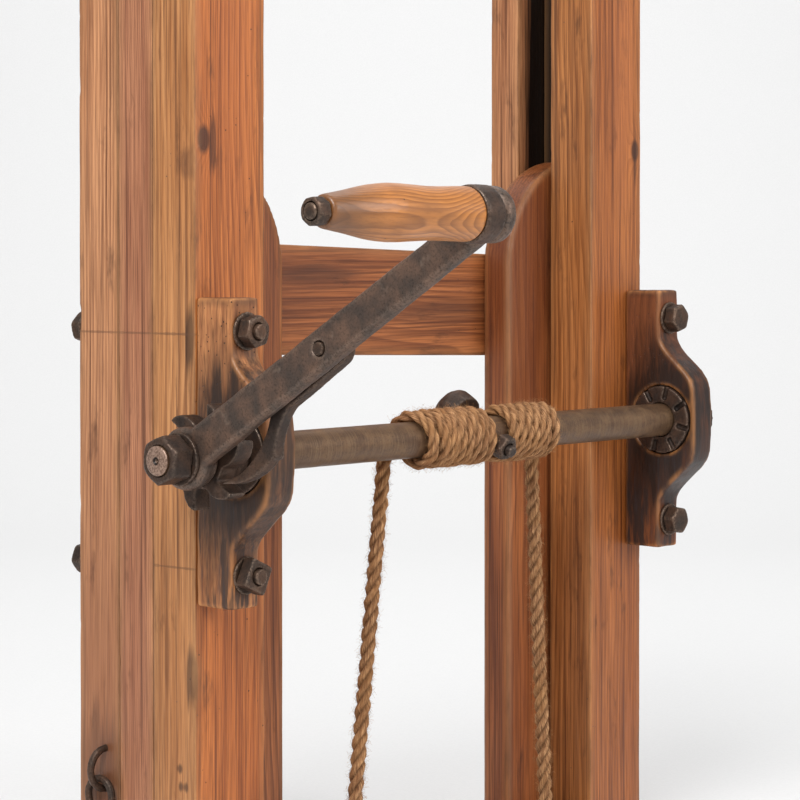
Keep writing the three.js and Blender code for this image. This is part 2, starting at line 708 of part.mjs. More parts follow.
const spindle_end = grip_nut_seat - grip_nut_height - fit;
const spindle_head = arm_thickness + fit;
add(handle, 'grip_spindle', turned([
  [spindle_end - 0.5, spindle_radius - 1], [spindle_end, spindle_radius],
  [spindle_head, spindle_radius], [spindle_head, spindle_head_radius],
  [spindle_head + spindle_head_height / 2, spindle_head_radius - 1],
  [spindle_head + spindle_head_height, spindle_radius - 1]], 24), bolt_iron());
add(handle, 'grip_nut', nut(grip_nut_height, grip_nut_across_flats, 8, spindle_radius + fit, 24)
  .rotate([0, 180, 0]).translate([grip_nut_seat, 0, 0]), bolt_iron());

// ---- Ropes ----

/** The outer shape of one winding on the shaft, with room for the anchor bolt's nut beside it. */
function winding(span) {
  const nut_room = bore(anchor_nut_across_flats / Math.sqrt(3) + fit);
  return bar(half_width + span.from, half_width + span.to, rope_outside, 32)
    .subtract(shaft_bore).subtract(across(nut_room, anchor_x, anchor_tilt - 90));
}

add(drum, 'left_rope_winding', winding(left_winding), jute());
add(drum, 'right_rope_winding', winding(right_winding), jute());

// Half outline of a knot, in knot radii: place along the rope and radius.
const knot_profile = [[-1, 0.32], [-0.8, 0.6], [-0.3, 0.95], [0.3, 0.95], [0.8, 0.6], [1, 0.32]];
const fall_steps = 16;
const fall_top = axis_height - rope_diameter / 2;
const falls = [
  { name: 'left', x: left_winding.from - rope_diameter / 2 - fit, spread: -fall_spread },
  { name: 'right', x: right_winding.to + rope_diameter / 2 + fit, spread: fall_spread },
];
for (const fall of falls) {
  const top = new THREE.Vector3(fall.x, axis_y + rope_seat_radius, fall_top);
  const foot = top.clone().add(new THREE.Vector3(fall.spread, fall_set_back, -fall_length));
  const line = Array.from({ length: fall_steps }, (_, i) => top.clone().lerp(foot, i / (fall_steps - 1)));
  const tube = rod(new THREE.CatmullRomCurve3(line), rope_diameter, fall_steps);
  add(hoist, `${fall.name}_rope_fall`, tube, jute());
  const knot_half = knot_profile.map(([along, radius]) => [along * knot_radius, radius * knot_radius]);
  const knot = turned(knot_half, 16).rotate([0, 90, 0]);
  const knot_middle = foot.clone().add(new THREE.Vector3(0, 0, -knot_radius - 3 * fit));
  add(hoist, `${fall.name}_rope_knot`, knot, jute(), knot_middle.toArray());

  // The screw eye that the knot is made to, in the front of the bearer.
  const eye_drop = knot_radius + 2 * fit + eye_rod / 2 + eye_ring_radius;
  const eye_middle = knot_middle.clone().add(new THREE.Vector3(0, 0, -eye_drop));
  const stem = bar_y(eye_ring_radius, bearer_front - eye_middle.y - fit, eye_rod / 2, 0, 0, 12);
  const eye = ring(eye_ring_radius, eye_rod).rotate([0, 90, 0]).add(stem);
  add(hoist, `${fall.name}_rope_eye`, eye, bolt_iron(), eye_middle.toArray());
}

/** A closed ring of rod, with its middle at the origin and its hole along Z. */
function ring(radius, diameter) {
  return solid(new THREE.TorusGeometry(radius, diameter / 2, 8, 20));
}

// ---- Staple and ring on the outside of the left post ----

const bow = ring(staple_radius, staple_rod).rotate([90, 0, 0])
  .intersect(block(-2 * staple_radius, -fit, -staple_rod, staple_rod, -2 * staple_radius, 2 * staple_radius))
  .translate([-half_width, staple_y, staple_height]);
add(hoist, 'post_staple', bow.add(staple_legs()), bolt_iron());

// The ring rests on the bow's inside, where the bow stands at its distance from the post.
const rest = (staple_radius - staple_rod - fit) / staple_radius;
const bow_drop = Math.sqrt(staple_radius ** 2 - hang_ring_from_post ** 2);
add(hoist, 'hang_ring', ring(hang_ring_radius, staple_rod).rotate([0, 90, 0]), bolt_iron(), [
  -half_width - hang_ring_from_post * rest, staple_y, staple_height - bow_drop * rest - hang_ring_radius]);

export default hoist;
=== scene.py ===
import json
import math

import bmesh
import bpy
import numpy as np
from mathutils import Matrix, Vector, noise

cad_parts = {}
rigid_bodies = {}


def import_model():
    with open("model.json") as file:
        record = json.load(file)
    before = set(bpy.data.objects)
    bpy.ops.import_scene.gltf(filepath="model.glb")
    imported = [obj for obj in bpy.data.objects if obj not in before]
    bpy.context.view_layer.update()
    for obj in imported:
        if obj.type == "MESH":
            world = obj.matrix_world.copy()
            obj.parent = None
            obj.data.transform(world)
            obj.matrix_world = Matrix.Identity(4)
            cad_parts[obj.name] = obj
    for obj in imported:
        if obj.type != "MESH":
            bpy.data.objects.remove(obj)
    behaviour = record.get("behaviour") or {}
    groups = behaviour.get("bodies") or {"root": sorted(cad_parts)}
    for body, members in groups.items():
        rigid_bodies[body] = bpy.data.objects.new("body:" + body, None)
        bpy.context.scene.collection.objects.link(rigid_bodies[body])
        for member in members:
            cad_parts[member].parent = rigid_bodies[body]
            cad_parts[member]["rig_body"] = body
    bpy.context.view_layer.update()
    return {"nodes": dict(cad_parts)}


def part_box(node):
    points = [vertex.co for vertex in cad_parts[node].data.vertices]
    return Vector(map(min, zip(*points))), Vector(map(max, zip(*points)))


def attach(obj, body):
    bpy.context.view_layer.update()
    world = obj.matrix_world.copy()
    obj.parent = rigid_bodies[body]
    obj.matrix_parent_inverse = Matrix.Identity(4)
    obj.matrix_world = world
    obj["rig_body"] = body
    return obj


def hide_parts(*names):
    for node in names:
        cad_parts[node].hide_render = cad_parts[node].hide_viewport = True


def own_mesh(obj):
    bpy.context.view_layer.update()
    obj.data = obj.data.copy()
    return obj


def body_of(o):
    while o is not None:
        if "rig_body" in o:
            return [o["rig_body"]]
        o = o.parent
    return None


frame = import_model()
nodes = frame["nodes"]

# ---- Camera ----
# A long lens level with the upper half of the posts, looking from beyond the left post's outer side
# towards the right post, so that the crank and the shaft run across the view.
camera = bpy.data.objects.new("camera", bpy.data.cameras.new("camera"))
camera.data.lens = 117
camera.data.sensor_width = 36
camera.data.shift_y = -0.1245
camera.data.clip_end = 50
camera.location = (-1.4746, -1.2954, 0.4835)
camera.rotation_euler = (math.radians(89), 0, math.radians(-49.1))
bpy.context.scene.collection.objects.link(camera)
bpy.context.scene.camera = camera

# ---- Falling ropes and windings ----
# Coarse three-strand jute, 8.6 mm thick and hairy with loose fibres. Each rope is held by the anchor
# bolt in the shaft, is wound side by side on the shaft, and then falls straight to the bearer.
rope_thickness = 0.0086
rope_lay = 0.033
shaft_y, shaft_z = -0.093, 0.352
wound_radius = 0.0173
fall_hair, winding_hair = 420000.0, 240000.0
knot_size, knot_drop, knot_thickness = 0.0021, 0.0098, 0.0070
knot_points = 96
fall_ends = {
    "left": ((-0.0826, -0.0757, 0.3477), (-0.1136, -0.0677, 0.0417)),
    "right": ((0.0846, -0.0757, 0.3477), (0.1156, -0.0677, 0.0417)),
}


def tone(code):
    """A colour written as six hexadecimal digits, as linear light."""
    parts = [int(code[i : i + 2], 16) / 255 for i in (0, 2, 4)]
    return (*[((c + 0.055) / 1.055) ** 2.4 if c > 0.04 else c / 12.92 for c in parts], 1)


class Finish:
    """A material wired from nodes: each call adds a node and gives back what comes out of it."""

    def __init__(self, name):
        self.material = bpy.data.materials.new(name)
        self.material.use_nodes = True
        self.tree = self.material.node_tree
        self.shader = self.tree.nodes["Principled BSDF"]
        self.place = self.add("ShaderNodeTexCoord").outputs["Object"]

    def add(self, kind, inputs=(), **settings):
        node = self.tree.nodes.new(kind)
        for key, value in settings.items():
            setattr(node, key, value)
        for key, value in dict(inputs).items():
            self.put(node.inputs[key], value)
        return node

    def put(self, socket, value):
        if isinstance(value, bpy.types.NodeSocket):
            self.tree.links.new(value, socket)
        else:
            socket.default_value = value

    def math(self, operation, *values, clamp=False):
        node = self.add("ShaderNodeMath", operation=operation, use_clamp=clamp)
        for socket, value in zip(node.inputs, values):
            self.put(socket, value)
        return node.outputs[0]

    def moved(self, source, scale, shift=(0, 0, 0), turn=(0, 0, 0)):
        inputs = {"Vector": source, "Scale": scale, "Location": shift, "Rotation": turn}
        return self.add("ShaderNodeMapping", inputs).outputs[0]

    def cloud(self, place, scale, detail=3.0, rough=0.55):
        inputs = {"Vector": place, "Scale": scale, "Detail": detail, "Roughness": rough}
        return self.add("ShaderNodeTexNoise", inputs).outputs[0]

    def pits(self, place, scale, size):
        """1 inside scattered round spots, 0 between them."""
        cell = self.add("ShaderNodeTexVoronoi", {"Vector": place, "Scale": scale})
        return self.span(cell.outputs["Distance"], size, size * 0.6)

    def span(self, value, low, high, to_low=0.0, to_high=1.0):
        inputs = {0: value, 1: low, 2: high, 3: to_low, 4: to_high}
        return self.add("ShaderNodeMapRange", inputs).outputs[0]

    def mix(self, share, a, b, kind="MIX"):
        node = self.add("ShaderNodeMix", data_type="RGBA", blend_type=kind)
        for index, value in ((0, share), (6, a), (7, b)):
            self.put(node.inputs[index], value)
        return node.outputs[2]

    def attribute(self, name, output="Fac"):
        return self.add("ShaderNodeAttribute", attribute_name=name).outputs[output]

    def bump(self, height, strength, distance, after=None):
        inputs = {"Height": height, "Strength": strength, "Distance": distance}
        if after is not None:
            inputs["Normal"] = after
        return self.add("ShaderNodeBump", inputs).outputs[0]

    def done(self, colour, roughness, normal, metal=0.0, specular=0.5):
        self.put(self.shader.inputs["Base Color"], colour)
        self.put(self.shader.inputs["Roughness"], roughness)
        self.put(self.shader.inputs["Normal"], normal)
        self.put(self.shader.inputs["Metallic"], metal)
        self.shader.inputs["Specular IOR Level"].default_value = specular
        return self.material


def jute_finish():
    """Golden-brown fibre, pale and dark strands side by side, with painted shade darkest between the
    strands.
    """
    made = Finish("jute")
    lay = made.attribute("lay", "Vector")
    fibre = made.cloud(made.moved(lay, (1500, 1500, 130)), 1, 3, 0.6)
    yarn = made.cloud(made.moved(lay, (420, 420, 60)), 1, 2)
    patch = made.cloud(made.place, 38, 3)
    strand_crease_shade = made.attribute("strand_crease_shade")
    colour = made.mix(made.span(fibre, 0.36, 0.64), tone("6e4830"), tone("d3a274"))
    colour = made.mix(made.span(yarn, 0.42, 0.66, 0, 0.8), colour, tone("855a3a"))
    colour = made.mix(made.span(patch, 0.4, 0.68, 0, 0.4), colour, tone("b3814f"))
    # Painted shade: the creases between the strands are darkened towards 351d10.
    colour = made.mix(made.math("MULTIPLY", strand_crease_shade, 0.72), colour, tone("351d10"))
    height = made.math("ADD", fibre, made.math("MULTIPLY", yarn, 0.6))
    return made.done(colour, 0.85, made.bump(height, 0.9, 0.0007), specular=0.2)


jute = jute_finish()


def piece(name, mesh, body, slot, material, *replaced):
    """A finished mesh as one piece, riding on its body and standing for its CAD nodes."""
    made = bpy.data.objects.new(name, mesh)
    bpy.context.scene.collection.objects.link(made)
    mesh.materials.clear()
    mesh.materials.append(material)
    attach(made, body)
    if replaced:
        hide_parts(*replaced)
    return made


def skin(rings):
    """A mesh through rings of points, one ring after another, with its two ends closed."""
    count, sides = rings.shape[:2]
    faces = []
    for i in range(count - 1):
        for j in range(sides):
            k = (j + 1) % sides
            faces.append((i * sides + j, i * sides + k, (i + 1) * sides + k, (i + 1) * sides + j))
    faces.append(tuple(range(sides))[::-1])
    faces.append(tuple((count - 1) * sides + j for j in range(sides)))
    mesh = bpy.data.meshes.new("skin")
    mesh.from_pydata(rings.reshape(-1, 3).tolist(), [], faces)
    made = bmesh.new()
    made.from_mesh(mesh)
    bmesh.ops.recalc_face_normals(made, faces=made.faces)
    made.to_mesh(mesh)
    made.free()
    mesh.shade_smooth()
    return mesh


def keep(mesh, name, values, kind="FLOAT"):
    """Values stored on the mesh's points, for its material to read."""
    layer = mesh.attributes.new(name, kind, "POINT")
    field = "vector" if kind == "FLOAT_VECTOR" else "value"
    layer.data.foreach_set(field, np.asarray(values, np.float32).ravel())


def even(line, step):
    """The same line with its points a step apart."""
    line = np.asarray(line, float)
    run = np.concatenate([[0], np.cumsum(np.linalg.norm(np.diff(line, axis=0), axis=1))])
    places = np.linspace(0, run[-1], max(2, round(run[-1] / step) + 1))
    return np.stack([np.interp(places, run, line[:, i]) for i in range(3)], 1), places


def laid_rope(line, thickness, lay, seed, sides=24, step=0.0011, full=1.0):
    """Three strands laid round each other along a line, as one closed skin.

    A strand's middle sits at `seat` and its skin `strand` further out, as shares of the rope's radius.
    """
    middle, run = even(line, step)
    along = np.gradient(middle, axis=0)
    along /= np.linalg.norm(along, axis=1)[:, None]
    side = Vector(along[0]).orthogonal().normalized()
    rings = np.zeros((len(run), sides, 3))
    lays = np.zeros((len(run), sides, 3))
    strand_crease_shades = np.zeros((len(run), sides))
    strand, seat = 0.51, 0.49
    for i, (at, ahead, s) in enumerate(zip(middle, along, run)):
        ahead = Vector(ahead)
        side = (side - ahead * side.dot(ahead)).normalized()
        other = ahead.cross(side)
        for j in range(sides):
            round_strand = (j / sides * 3) % 1 - 0.5
            off = round_strand * 2 * math.pi / 3
            edge = max(0.0, strand**2 - (seat * math.sin(off)) ** 2)
            out = seat * math.cos(off) + math.sqrt(edge)
            turn = 2 * math.pi * (j / sides + s / lay)
            fluff = noise.noise(Vector((j * 0.9, s * 400, seed)))
            tuft = noise.noise(Vector((j * 0.35, s * 130, seed + 9.0)))
            uneven = 1 + 0.09 * fluff + 0.15 * tuft
            reach = thickness / 2 * full * (out * uneven + 0.02)
            flat = side * math.cos(turn) + other * math.sin(turn)
            rings[i, j] = Vector(at) + flat * reach
            lays[i, j] = (thickness / 2 * math.cos(turn), thickness / 2 * math.sin(turn), s)
            # How deep each point sits in the crease between strands; the jute finish paints shade
            # there.
            strand_crease_shades[i, j] = min(1.0, max(0.0, (0.9 - out) / 0.5))
    mesh = skin(rings)
    keep(mesh, "lay", lays, "FLOAT_VECTOR")
    keep(mesh, "strand_crease_shade", strand_crease_shades)
    return mesh, middle


def fibre_tree():
    """Geometry Nodes: loose curled fibres standing out of a rope's surface."""
    tree = bpy.data.node_groups.new("loose_fibres", "GeometryNodeTree")
    for name, kind, value in (
        ("Geometry", "NodeSocketGeometry", None),
        ("Per square metre", "NodeSocketFloat", fall_hair),
        ("Fibre length", "NodeSocketFloat", 0.0055),
        ("Fibre radius", "NodeSocketFloat", 0.00006),
        ("Seed", "NodeSocketInt", 0),
        ("Material", "NodeSocketMaterial", None),
    ):
        made = tree.interface.new_socket(name, in_out="INPUT", socket_type=kind)
        if value is not None:
            made.default_value = value
    tree.interface.new_socket("Geometry", in_out="OUTPUT", socket_type="NodeSocketGeometry")

    def add(kind, inputs=(), **settings):
        node = tree.nodes.new(kind)
        for key, value in settings.items():
            setattr(node, key, value)
        for key, value in dict(inputs).items():
            if isinstance(value, bpy.types.NodeSocket):
                tree.links.new(value, node.inputs[key])
            else:
                node.inputs[key].default_value = value
        return node

    given = add("NodeGroupInput").outputs
    spread = add(
        "GeometryNodeDistributePointsOnFaces",
        {"Mesh": given[0], "Density": given["Per square metre"], "Seed": given["Seed"]},
    )
    hair = add(
        "GeometryNodeCurveQuadraticBezier",
        {"Resolution": 4, "Start": (0, 0, -0.1), "Middle": (0.15, 0, 0.35), "End": (0.9, 0.2, 0.42)},
    )
    profile = add("GeometryNodeCurvePrimitiveCircle", {"Resolution": 3}, mode="RADIUS")
    sized = add("ShaderNodeMath", operation="DIVIDE")
    tree.links.new(given["Fibre radius"], sized.inputs[0])
    tree.links.new(given["Fibre length"], sized.inputs[1])
    tree.links.new(sized.outputs[0], profile.inputs["Radius"])
    tube = add(
        "GeometryNodeCurveToMesh",
        {"Curve": hair.outputs[0], "Profile Curve": profile.outputs[0], "Fill Caps": True},
    )
    spin = add(
        "FunctionNodeRandomValue",
        {"Min": (-0.5, -0.5, 0.0), "Max": (0.5, 0.5, 6.283), "Seed": given["Seed"]},
        data_type="FLOAT_VECTOR",
    )
    facing = add("FunctionNodeRotateRotation", rotation_space="LOCAL")
    tree.links.new(spread.outputs["Rotation"], facing.inputs[0])
    tree.links.new(spin.outputs[0], facing.inputs[1])
    size = add(
        "FunctionNodeRandomValue",
        {"Min": 0.25, "Max": 1.0, "Seed": given["Seed"]},
        data_type="FLOAT",
    )
    length = add("ShaderNodeMath", operation="MULTIPLY")
    tree.links.new(next(o for o in size.outputs if o.enabled), length.inputs[0])
    tree.links.new(given["Fibre length"], length.inputs[1])
    placed = add(
        "GeometryNodeInstanceOnPoints",
        {
            "Points": spread.outputs["Points"],
            "Instance": tube.outputs[0],
            "Rotation": facing.outputs[0],
            "Scale": length.outputs[0],
        },
    )
    whole = add("GeometryNodeRealizeInstances", {"Geometry": placed.outputs[0]})
    dressed = add(
        "GeometryNodeSetMaterial",
        {"Geometry": whole.outputs[0], "Material": given["Material"]},
    )
    add("NodeGroupOutput", {0: dressed.outputs[0]})
    return tree


def fibre_finish():
    """Single pale fibres, each a little different along the rope."""
    made = Finish("loose_fibre")
    shade = made.cloud(made.place, 160, 2)
    colour = made.mix(made.span(shade, 0.35, 0.65), tone("7d5637"), tone("c79a6c"))
    grain = made.cloud(made.place, 3000, 1)
    return made.done(colour, 0.8, made.bump(grain, 0.2, 0.0001), specular=0.2)


fibre_nodes = fibre_tree()
loose_fibre = fibre_finish()


def grown(base, tree, settings):
    """The plain mesh that a Geometry Nodes tree makes of a mesh."""
    holder = bpy.data.objects.new("grown", base)
    bpy.context.scene.collection.objects.link(holder)
    modifier = holder.modifiers.new("nodes", "NODES")
    modifier.node_group = tree
    for item in tree.interface.items_tree:
        if item.in_out == "INPUT" and item.name in settings:
            modifier[item.identifier] = settings[item.name]
    bpy.context.view_layer.update()
    depsgraph = bpy.context.evaluated_depsgraph_get()
    mesh = bpy.data.meshes.new_from_object(holder.evaluated_get(depsgraph))
    bpy.data.objects.remove(holder)
    return mesh


def loose_fibres(rope_piece, seed, density):
    """Loose fibres on a rope, as a piece that goes wherever the rope goes."""
    settings = {"Seed": seed, "Material": loose_fibre, "Per square metre": density}
    mesh = grown(rope_piece.data, fibre_nodes, settings)
    body = body_of(rope_piece)[0]
    return piece(rope_piece.name + "_fibres", mesh, body, "jute_rope", loose_fibre)


def wound_line(start, stop, turns, lead, turn_points=48):
    """The middle of a rope wound on the shaft, its first turn crossing towards the others."""
    points = []
    for i in range(round(turns * turn_points) + 1):
        share = i / turn_points / turns
        turn = 2 * math.pi * i / turn_points
        eased = share + lead * math.sin(math.pi * min(1.0, share * 2.2)) ** 2 * (1 - share)
        wobble = 0.0004 * noise.noise(Vector((turn * 0.8, turns, 3.0)))
        reach = wound_radius + wobble
        across = start + (stop - start) * eased + 1.5 * wobble
        points.append((across, shaft_y + reach * math.cos(turn), shaft_z + reach * math.sin(turn)))
    return points


for seed, (hand, (top, foot)) in enumerate(fall_ends.items(), 1):
    line = np.linspace(top, foot, 24)
    mesh, middle = laid_rope(line, rope_thickness, rope_lay, seed, full=1.24)
    fall = piece(f"{hand}_fall", mesh, "frame", "jute_rope", jute, f"{hand}_rope_fall")
    hair = loose_fibres(fall, seed, fall_hair)
    for part in (fall, hair):
        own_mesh(part)

    knot_line = []
    for i in range(knot_points + 1):
        t = 2 * math.pi * i / knot_points
        x = foot[0] + knot_size * (math.sin(t) + 1.6 * math.sin(2 * t))
        y = foot[1] - knot_size * math.sin(3 * t)
        z = foot[2] - knot_drop + knot_size * (math.cos(t) - 1.6 * math.cos(2 * t))
        knot_line.append((x, y, z))
    mesh, _ = laid_rope(knot_line, knot_thickness, rope_lay, seed + 10)
    knot = piece(f"{hand}_knot", mesh, "carriage", "jute_rope", jute, f"{hand}_rope_knot")

for hand, seed, start, stop, turns, lead in (
    ("left", 3, -0.0757, -0.0003, 9.0625, 0.12),
    ("right", 4, 0.0757, 0.0173, 7.0625, 0.05),
):
    line = wound_line(start, stop, turns, lead)
    mesh, middle = laid_rope(line, rope_thickness, rope_lay, seed, sides=18, step=0.0014)
    winding = piece(f"{hand}_winding", mesh, "drum", "jute_rope", jute, f"{hand}_rope_winding")
    hair = loose_fibres(winding, seed, winding_hair)

# ---- Posts ----
# Each post is two pine boards with a narrower strip between their outer halves, so that a groove
# is left on the inner side. The boards are waxed, nicked along the arrises and holed by beetles.
post_arris = 0.0011
pine_colours = {
    "pink": ("cf9468", "804a2a", "aa6c45"),
    "mauve": ("c0845f", "763f2a", "9c6244"),
    "honey": ("cf9460", "80491f", "b07240"),
    "tan": ("bc7a44", "693614", "985827"),
    "russet": ("b46c3c", "5c2b15", "8c4b24"),
    "brown": ("9c6c48", "5f3e29", "7f5536"),
}


def old_pine(name, shade, grain, pith, ring, seed=0.0, face=None, knots=(), marks=(), holes=0.5):
    """Pine with growth rings round a pith, fine fibre, dirt, beetle holes and worn arrises.

    A knot is a place and a size; a mark is a place, its three half-widths, a colour and a strength.
    """
    wander_depth, ripple_depth, knot_stretch = 0.042, 0.0026, 0.62
    made = Finish(name)
    early, late, warm = [tone(code) for code in pine_colours[shade]]
    split = made.add("ShaderNodeSeparateXYZ", {0: made.place}).outputs
    cross = [split[i] for i in range(3) if i != grain]
    along = split[grain]

    def timber(a_scale, c_scale, shift=0.0):
        parts = [made.math("MULTIPLY", c, a_scale) for c in cross]
        parts.append(made.math("MULTIPLY_ADD", along, c_scale, seed + shift))
        return made.add("ShaderNodeCombineXYZ", dict(enumerate(parts))).outputs[0]

    wander = made.math("SUBTRACT", made.cloud(timber(5, 1.6), 1, 2), 0.5)
    ripple = made.math("SUBTRACT", made.cloud(timber(45, 9, 3), 1, 2), 0.5)
    off = [made.math("SUBTRACT", c, p) for c, p in zip(cross, pith)]
    squares = [made.math("MULTIPLY", o, o) for o in off]
    reach = made.math("SQRT", made.math("ADD", *squares))
    reach = made.math("MULTIPLY_ADD", wander, wander_depth, reach)
    reach = made.math("MULTIPLY_ADD", ripple, ripple_depth, reach)
    knot_mask = 0.0
    for spot, size in knots:
        shift = (-spot[0], -spot[1], -spot[2] * knot_stretch)
        where = made.moved(made.place, (1, 1, knot_stretch), shift)
        far = made.add("ShaderNodeVectorMath", {0: where}, operation="LENGTH").outputs["Value"]
        near = made.span(far, size * 3.2, size * 0.4)
        near = made.math("MULTIPLY", near, near)
        reach = made.math("MULTIPLY_ADD", near, size * 1.6, reach)
        knot_mask = made.math("MAXIMUM", knot_mask, made.span(far, size * 1.15, size * 0.7))
    phase = made.math("FRACT", made.math("DIVIDE", reach, ring))
    rings = made.math("MULTIPLY", made.span(phase, 0.25, 0.9), made.span(phase, 1.0, 0.93))
    fibre = made.cloud(timber(1100, 22), 1, 3, 0.6)
    streak = made.cloud(timber(170, 5, 7), 1, 3, 0.6)
    broad = made.cloud(timber(22, 3.2, 11), 1, 3)
    faint = made.span(made.cloud(timber(36, 2.2, 41), 1, 2), 0.35, 0.65, 0.28, 0.74)
    colour = made.mix(made.math("MULTIPLY", rings, faint), early, late)
    colour = made.mix(made.span(broad, 0.40, 0.64, 0, 0.75), colour, warm)
    pale = made.cloud(timber(52, 2.6, 53), 1, 2)
    colour = made.mix(made.span(pale, 0.55, 0.72, 0, 0.35), colour, early)
    colour = made.mix(made.span(streak, 0.50, 0.68, 0, 0.65), colour, late)
    vein = made.cloud(timber(420, 3.5, 67), 1, 2, 0.5)
    colour = made.mix(made.span(vein, 0.55, 0.67, 0, 0.62), colour, tone("4a200d"))
    colour = made.mix(made.span(fibre, 0.46, 0.66, 0, 0.5), colour, tone("4a240f"))
    if face is not None:
        axis, shade_of_face = face
        normal = made.add("ShaderNodeNewGeometry").outputs["Normal"]
        turned_to = made.add("ShaderNodeSeparateXYZ", {0: normal}).outputs[axis]
        facing = made.math("POWER", made.math("ABSOLUTE", turned_to), 4.0)
        colour = made.mix(facing, colour, tone(shade_of_face), "MULTIPLY")
    if knots:
        colour = made.mix(made.math("MULTIPLY", knot_mask, 0.85), colour, tone("3a1c0e"))
    dirt = made.cloud(timber(60, 17, 19), 1, 4, 0.65)
    colour = made.mix(made.span(dirt, 0.60, 0.74, 0, 0.7), colour, tone("40210f"))
    for spot, radii, code, strength in marks:
        shift = [-s / r for s, r in zip(spot, radii)]
        where = made.moved(made.place, [1 / r for r in radii], shift)
        far = made.add("ShaderNodeVectorMath", {0: where}, operation="LENGTH").outputs["Value"]
        ragged = made.math("MULTIPLY_ADD", made.math("SUBTRACT", streak, 0.5), 1.9, far)
        shown = made.math("MULTIPLY", made.span(ragged, 1.05, 0.6), strength)
        colour = made.mix(shown, colour, tone(code))
    colony = made.cloud(timber(14, 14, 31), 1, 2)
    colony = made.span(colony, 0.66 - 0.18 * holes, 0.72 - 0.18 * holes)
    bored = made.math("MULTIPLY", made.pits(made.place, 120, 0.085), colony)
    colour = made.mix(made.math("MULTIPLY", bored, 0.9), colour, tone("1d0d06"))
    worn = made.attribute("wear")
    scuffed = made.math("MULTIPLY", worn, made.span(dirt, 0.35, 0.6), clamp=True)
    colour = made.mix(made.math("MULTIPLY", worn, 0.30), colour, tone("dba36c"))
    colour = made.mix(made.math("MULTIPLY", scuffed, 0.55), colour, tone("4a2612"))
    height = made.math("MULTIPLY_ADD", rings, 0.35, made.math("MULTIPLY", fibre, 0.8))
    height = made.math("MULTIPLY_ADD", bored, -6.0, height)
    height = made.math("MULTIPLY_ADD", made.span(dirt, 0.6, 0.74), -0.8, height)
    rough = made.span(made.math("ADD", fibre, dirt), 0.7, 1.3, 0.34, 0.56)
    return made.done(colour, rough, made.bump(height, 0.55, 0.0004), specular=0.42)


def board(low, high, grain, arris, seed, chips=(), turn=None):
    """A sawn board: a long box whose four arrises are rubbed round and chipped here and there.

    A chip is the arris it is on, its place along the grain, half its length and its depth.
    """
    length_step, width_step, end_gap = 0.004, 0.007, 0.003
    arris_points = 5
    low, high = Vector(low), Vector(high)
    a, b = [i for i in range(3) if i != grain]
    ends = [low[grain], low[grain] + arris]
    steps = round((high[grain] - low[grain]) / length_step)
    inner = np.linspace(low[grain] + end_gap, high[grain] - end_gap, steps)
    places = [*ends, *inner, high[grain] - arris, high[grain]]
    counts = [max(2, round((high[i] - low[i]) / width_step)) for i in (a, b)] * 2
    rings, wears = [], []
    for i, place in enumerate(places):
        inset = arris if i in (0, len(places) - 1) else 0.0
        radii = []
        for k in range(4):
            rub = noise.noise(Vector((seed * 3.1 + k * 7.7, place * 26, 1.5)))
            nick = noise.noise(Vector((seed * 5.3 + k * 3.3, place * 120, 8.5)))
            radius = arris * (1 + 0.6 * rub + 2.2 * max(0.0, nick - 0.42))
            for corner, at, half, depth in chips:
                if corner == k:
                    gone = max(0.0, 1 - ((place - at) / half) ** 2)
                    radius += depth * math.sqrt(gone) * (0.75 + 0.4 * nick)
            radii.append(radius)
        loop, wear = [], []
        for k, (sa, sb) in enumerate(((1, 1), (-1, 1), (-1, -1), (1, -1))):
            ca = (low if sa > 0 else high)[a] + sa * (radii[k] + inset)
            cb = (low if sb > 0 else high)[b] + sb * (radii[k] + inset)
            for step in range(arris_points):
                angle = math.pi + k * math.pi / 2 + step * math.pi / 2 / (arris_points - 1)
                loop.append((ca + radii[k] * math.cos(angle), cb + radii[k] * math.sin(angle)))
                wear.append(1.0 if 0 < step < arris_points - 1 else 0.45)
            loop.append(None)
            wear.append(None)
        flat, flat_wear = [], []
        for spot, (point, value) in enumerate(zip(loop, wear)):
            if point is not None:
                flat.append(point)
                flat_wear.append(value)
                continue
            k = spot // (arris_points + 1)
            start, stop = loop[spot - 1], loop[(spot + 1) % len(loop)]
            for step in range(1, counts[k]):
                share = step / counts[k]
                flat.append(tuple(s + (e - s) * share for s, e in zip(start, stop)))
                flat_wear.append(0.0)
        ring = np.zeros((len(flat), 3))
        ring[:, [a, b]] = flat
        ring[:, grain] = place
        rings.append(ring)
        wears.append(flat_wear)
    mesh = skin(np.array(rings))
    keep(mesh, "wear", wears)
    if turn is not None:
        mesh.transform(turn)
    mesh.set_sharp_from_angle(angle=math.radians(50))
    return mesh


def pencil_line(y, z, strength=0.5):
    """A line that the joiner drew across the left post's outer face."""
    return ((-0.254, y, z), (0.002, 0.9, 0.0009), "5a3a28", strength)


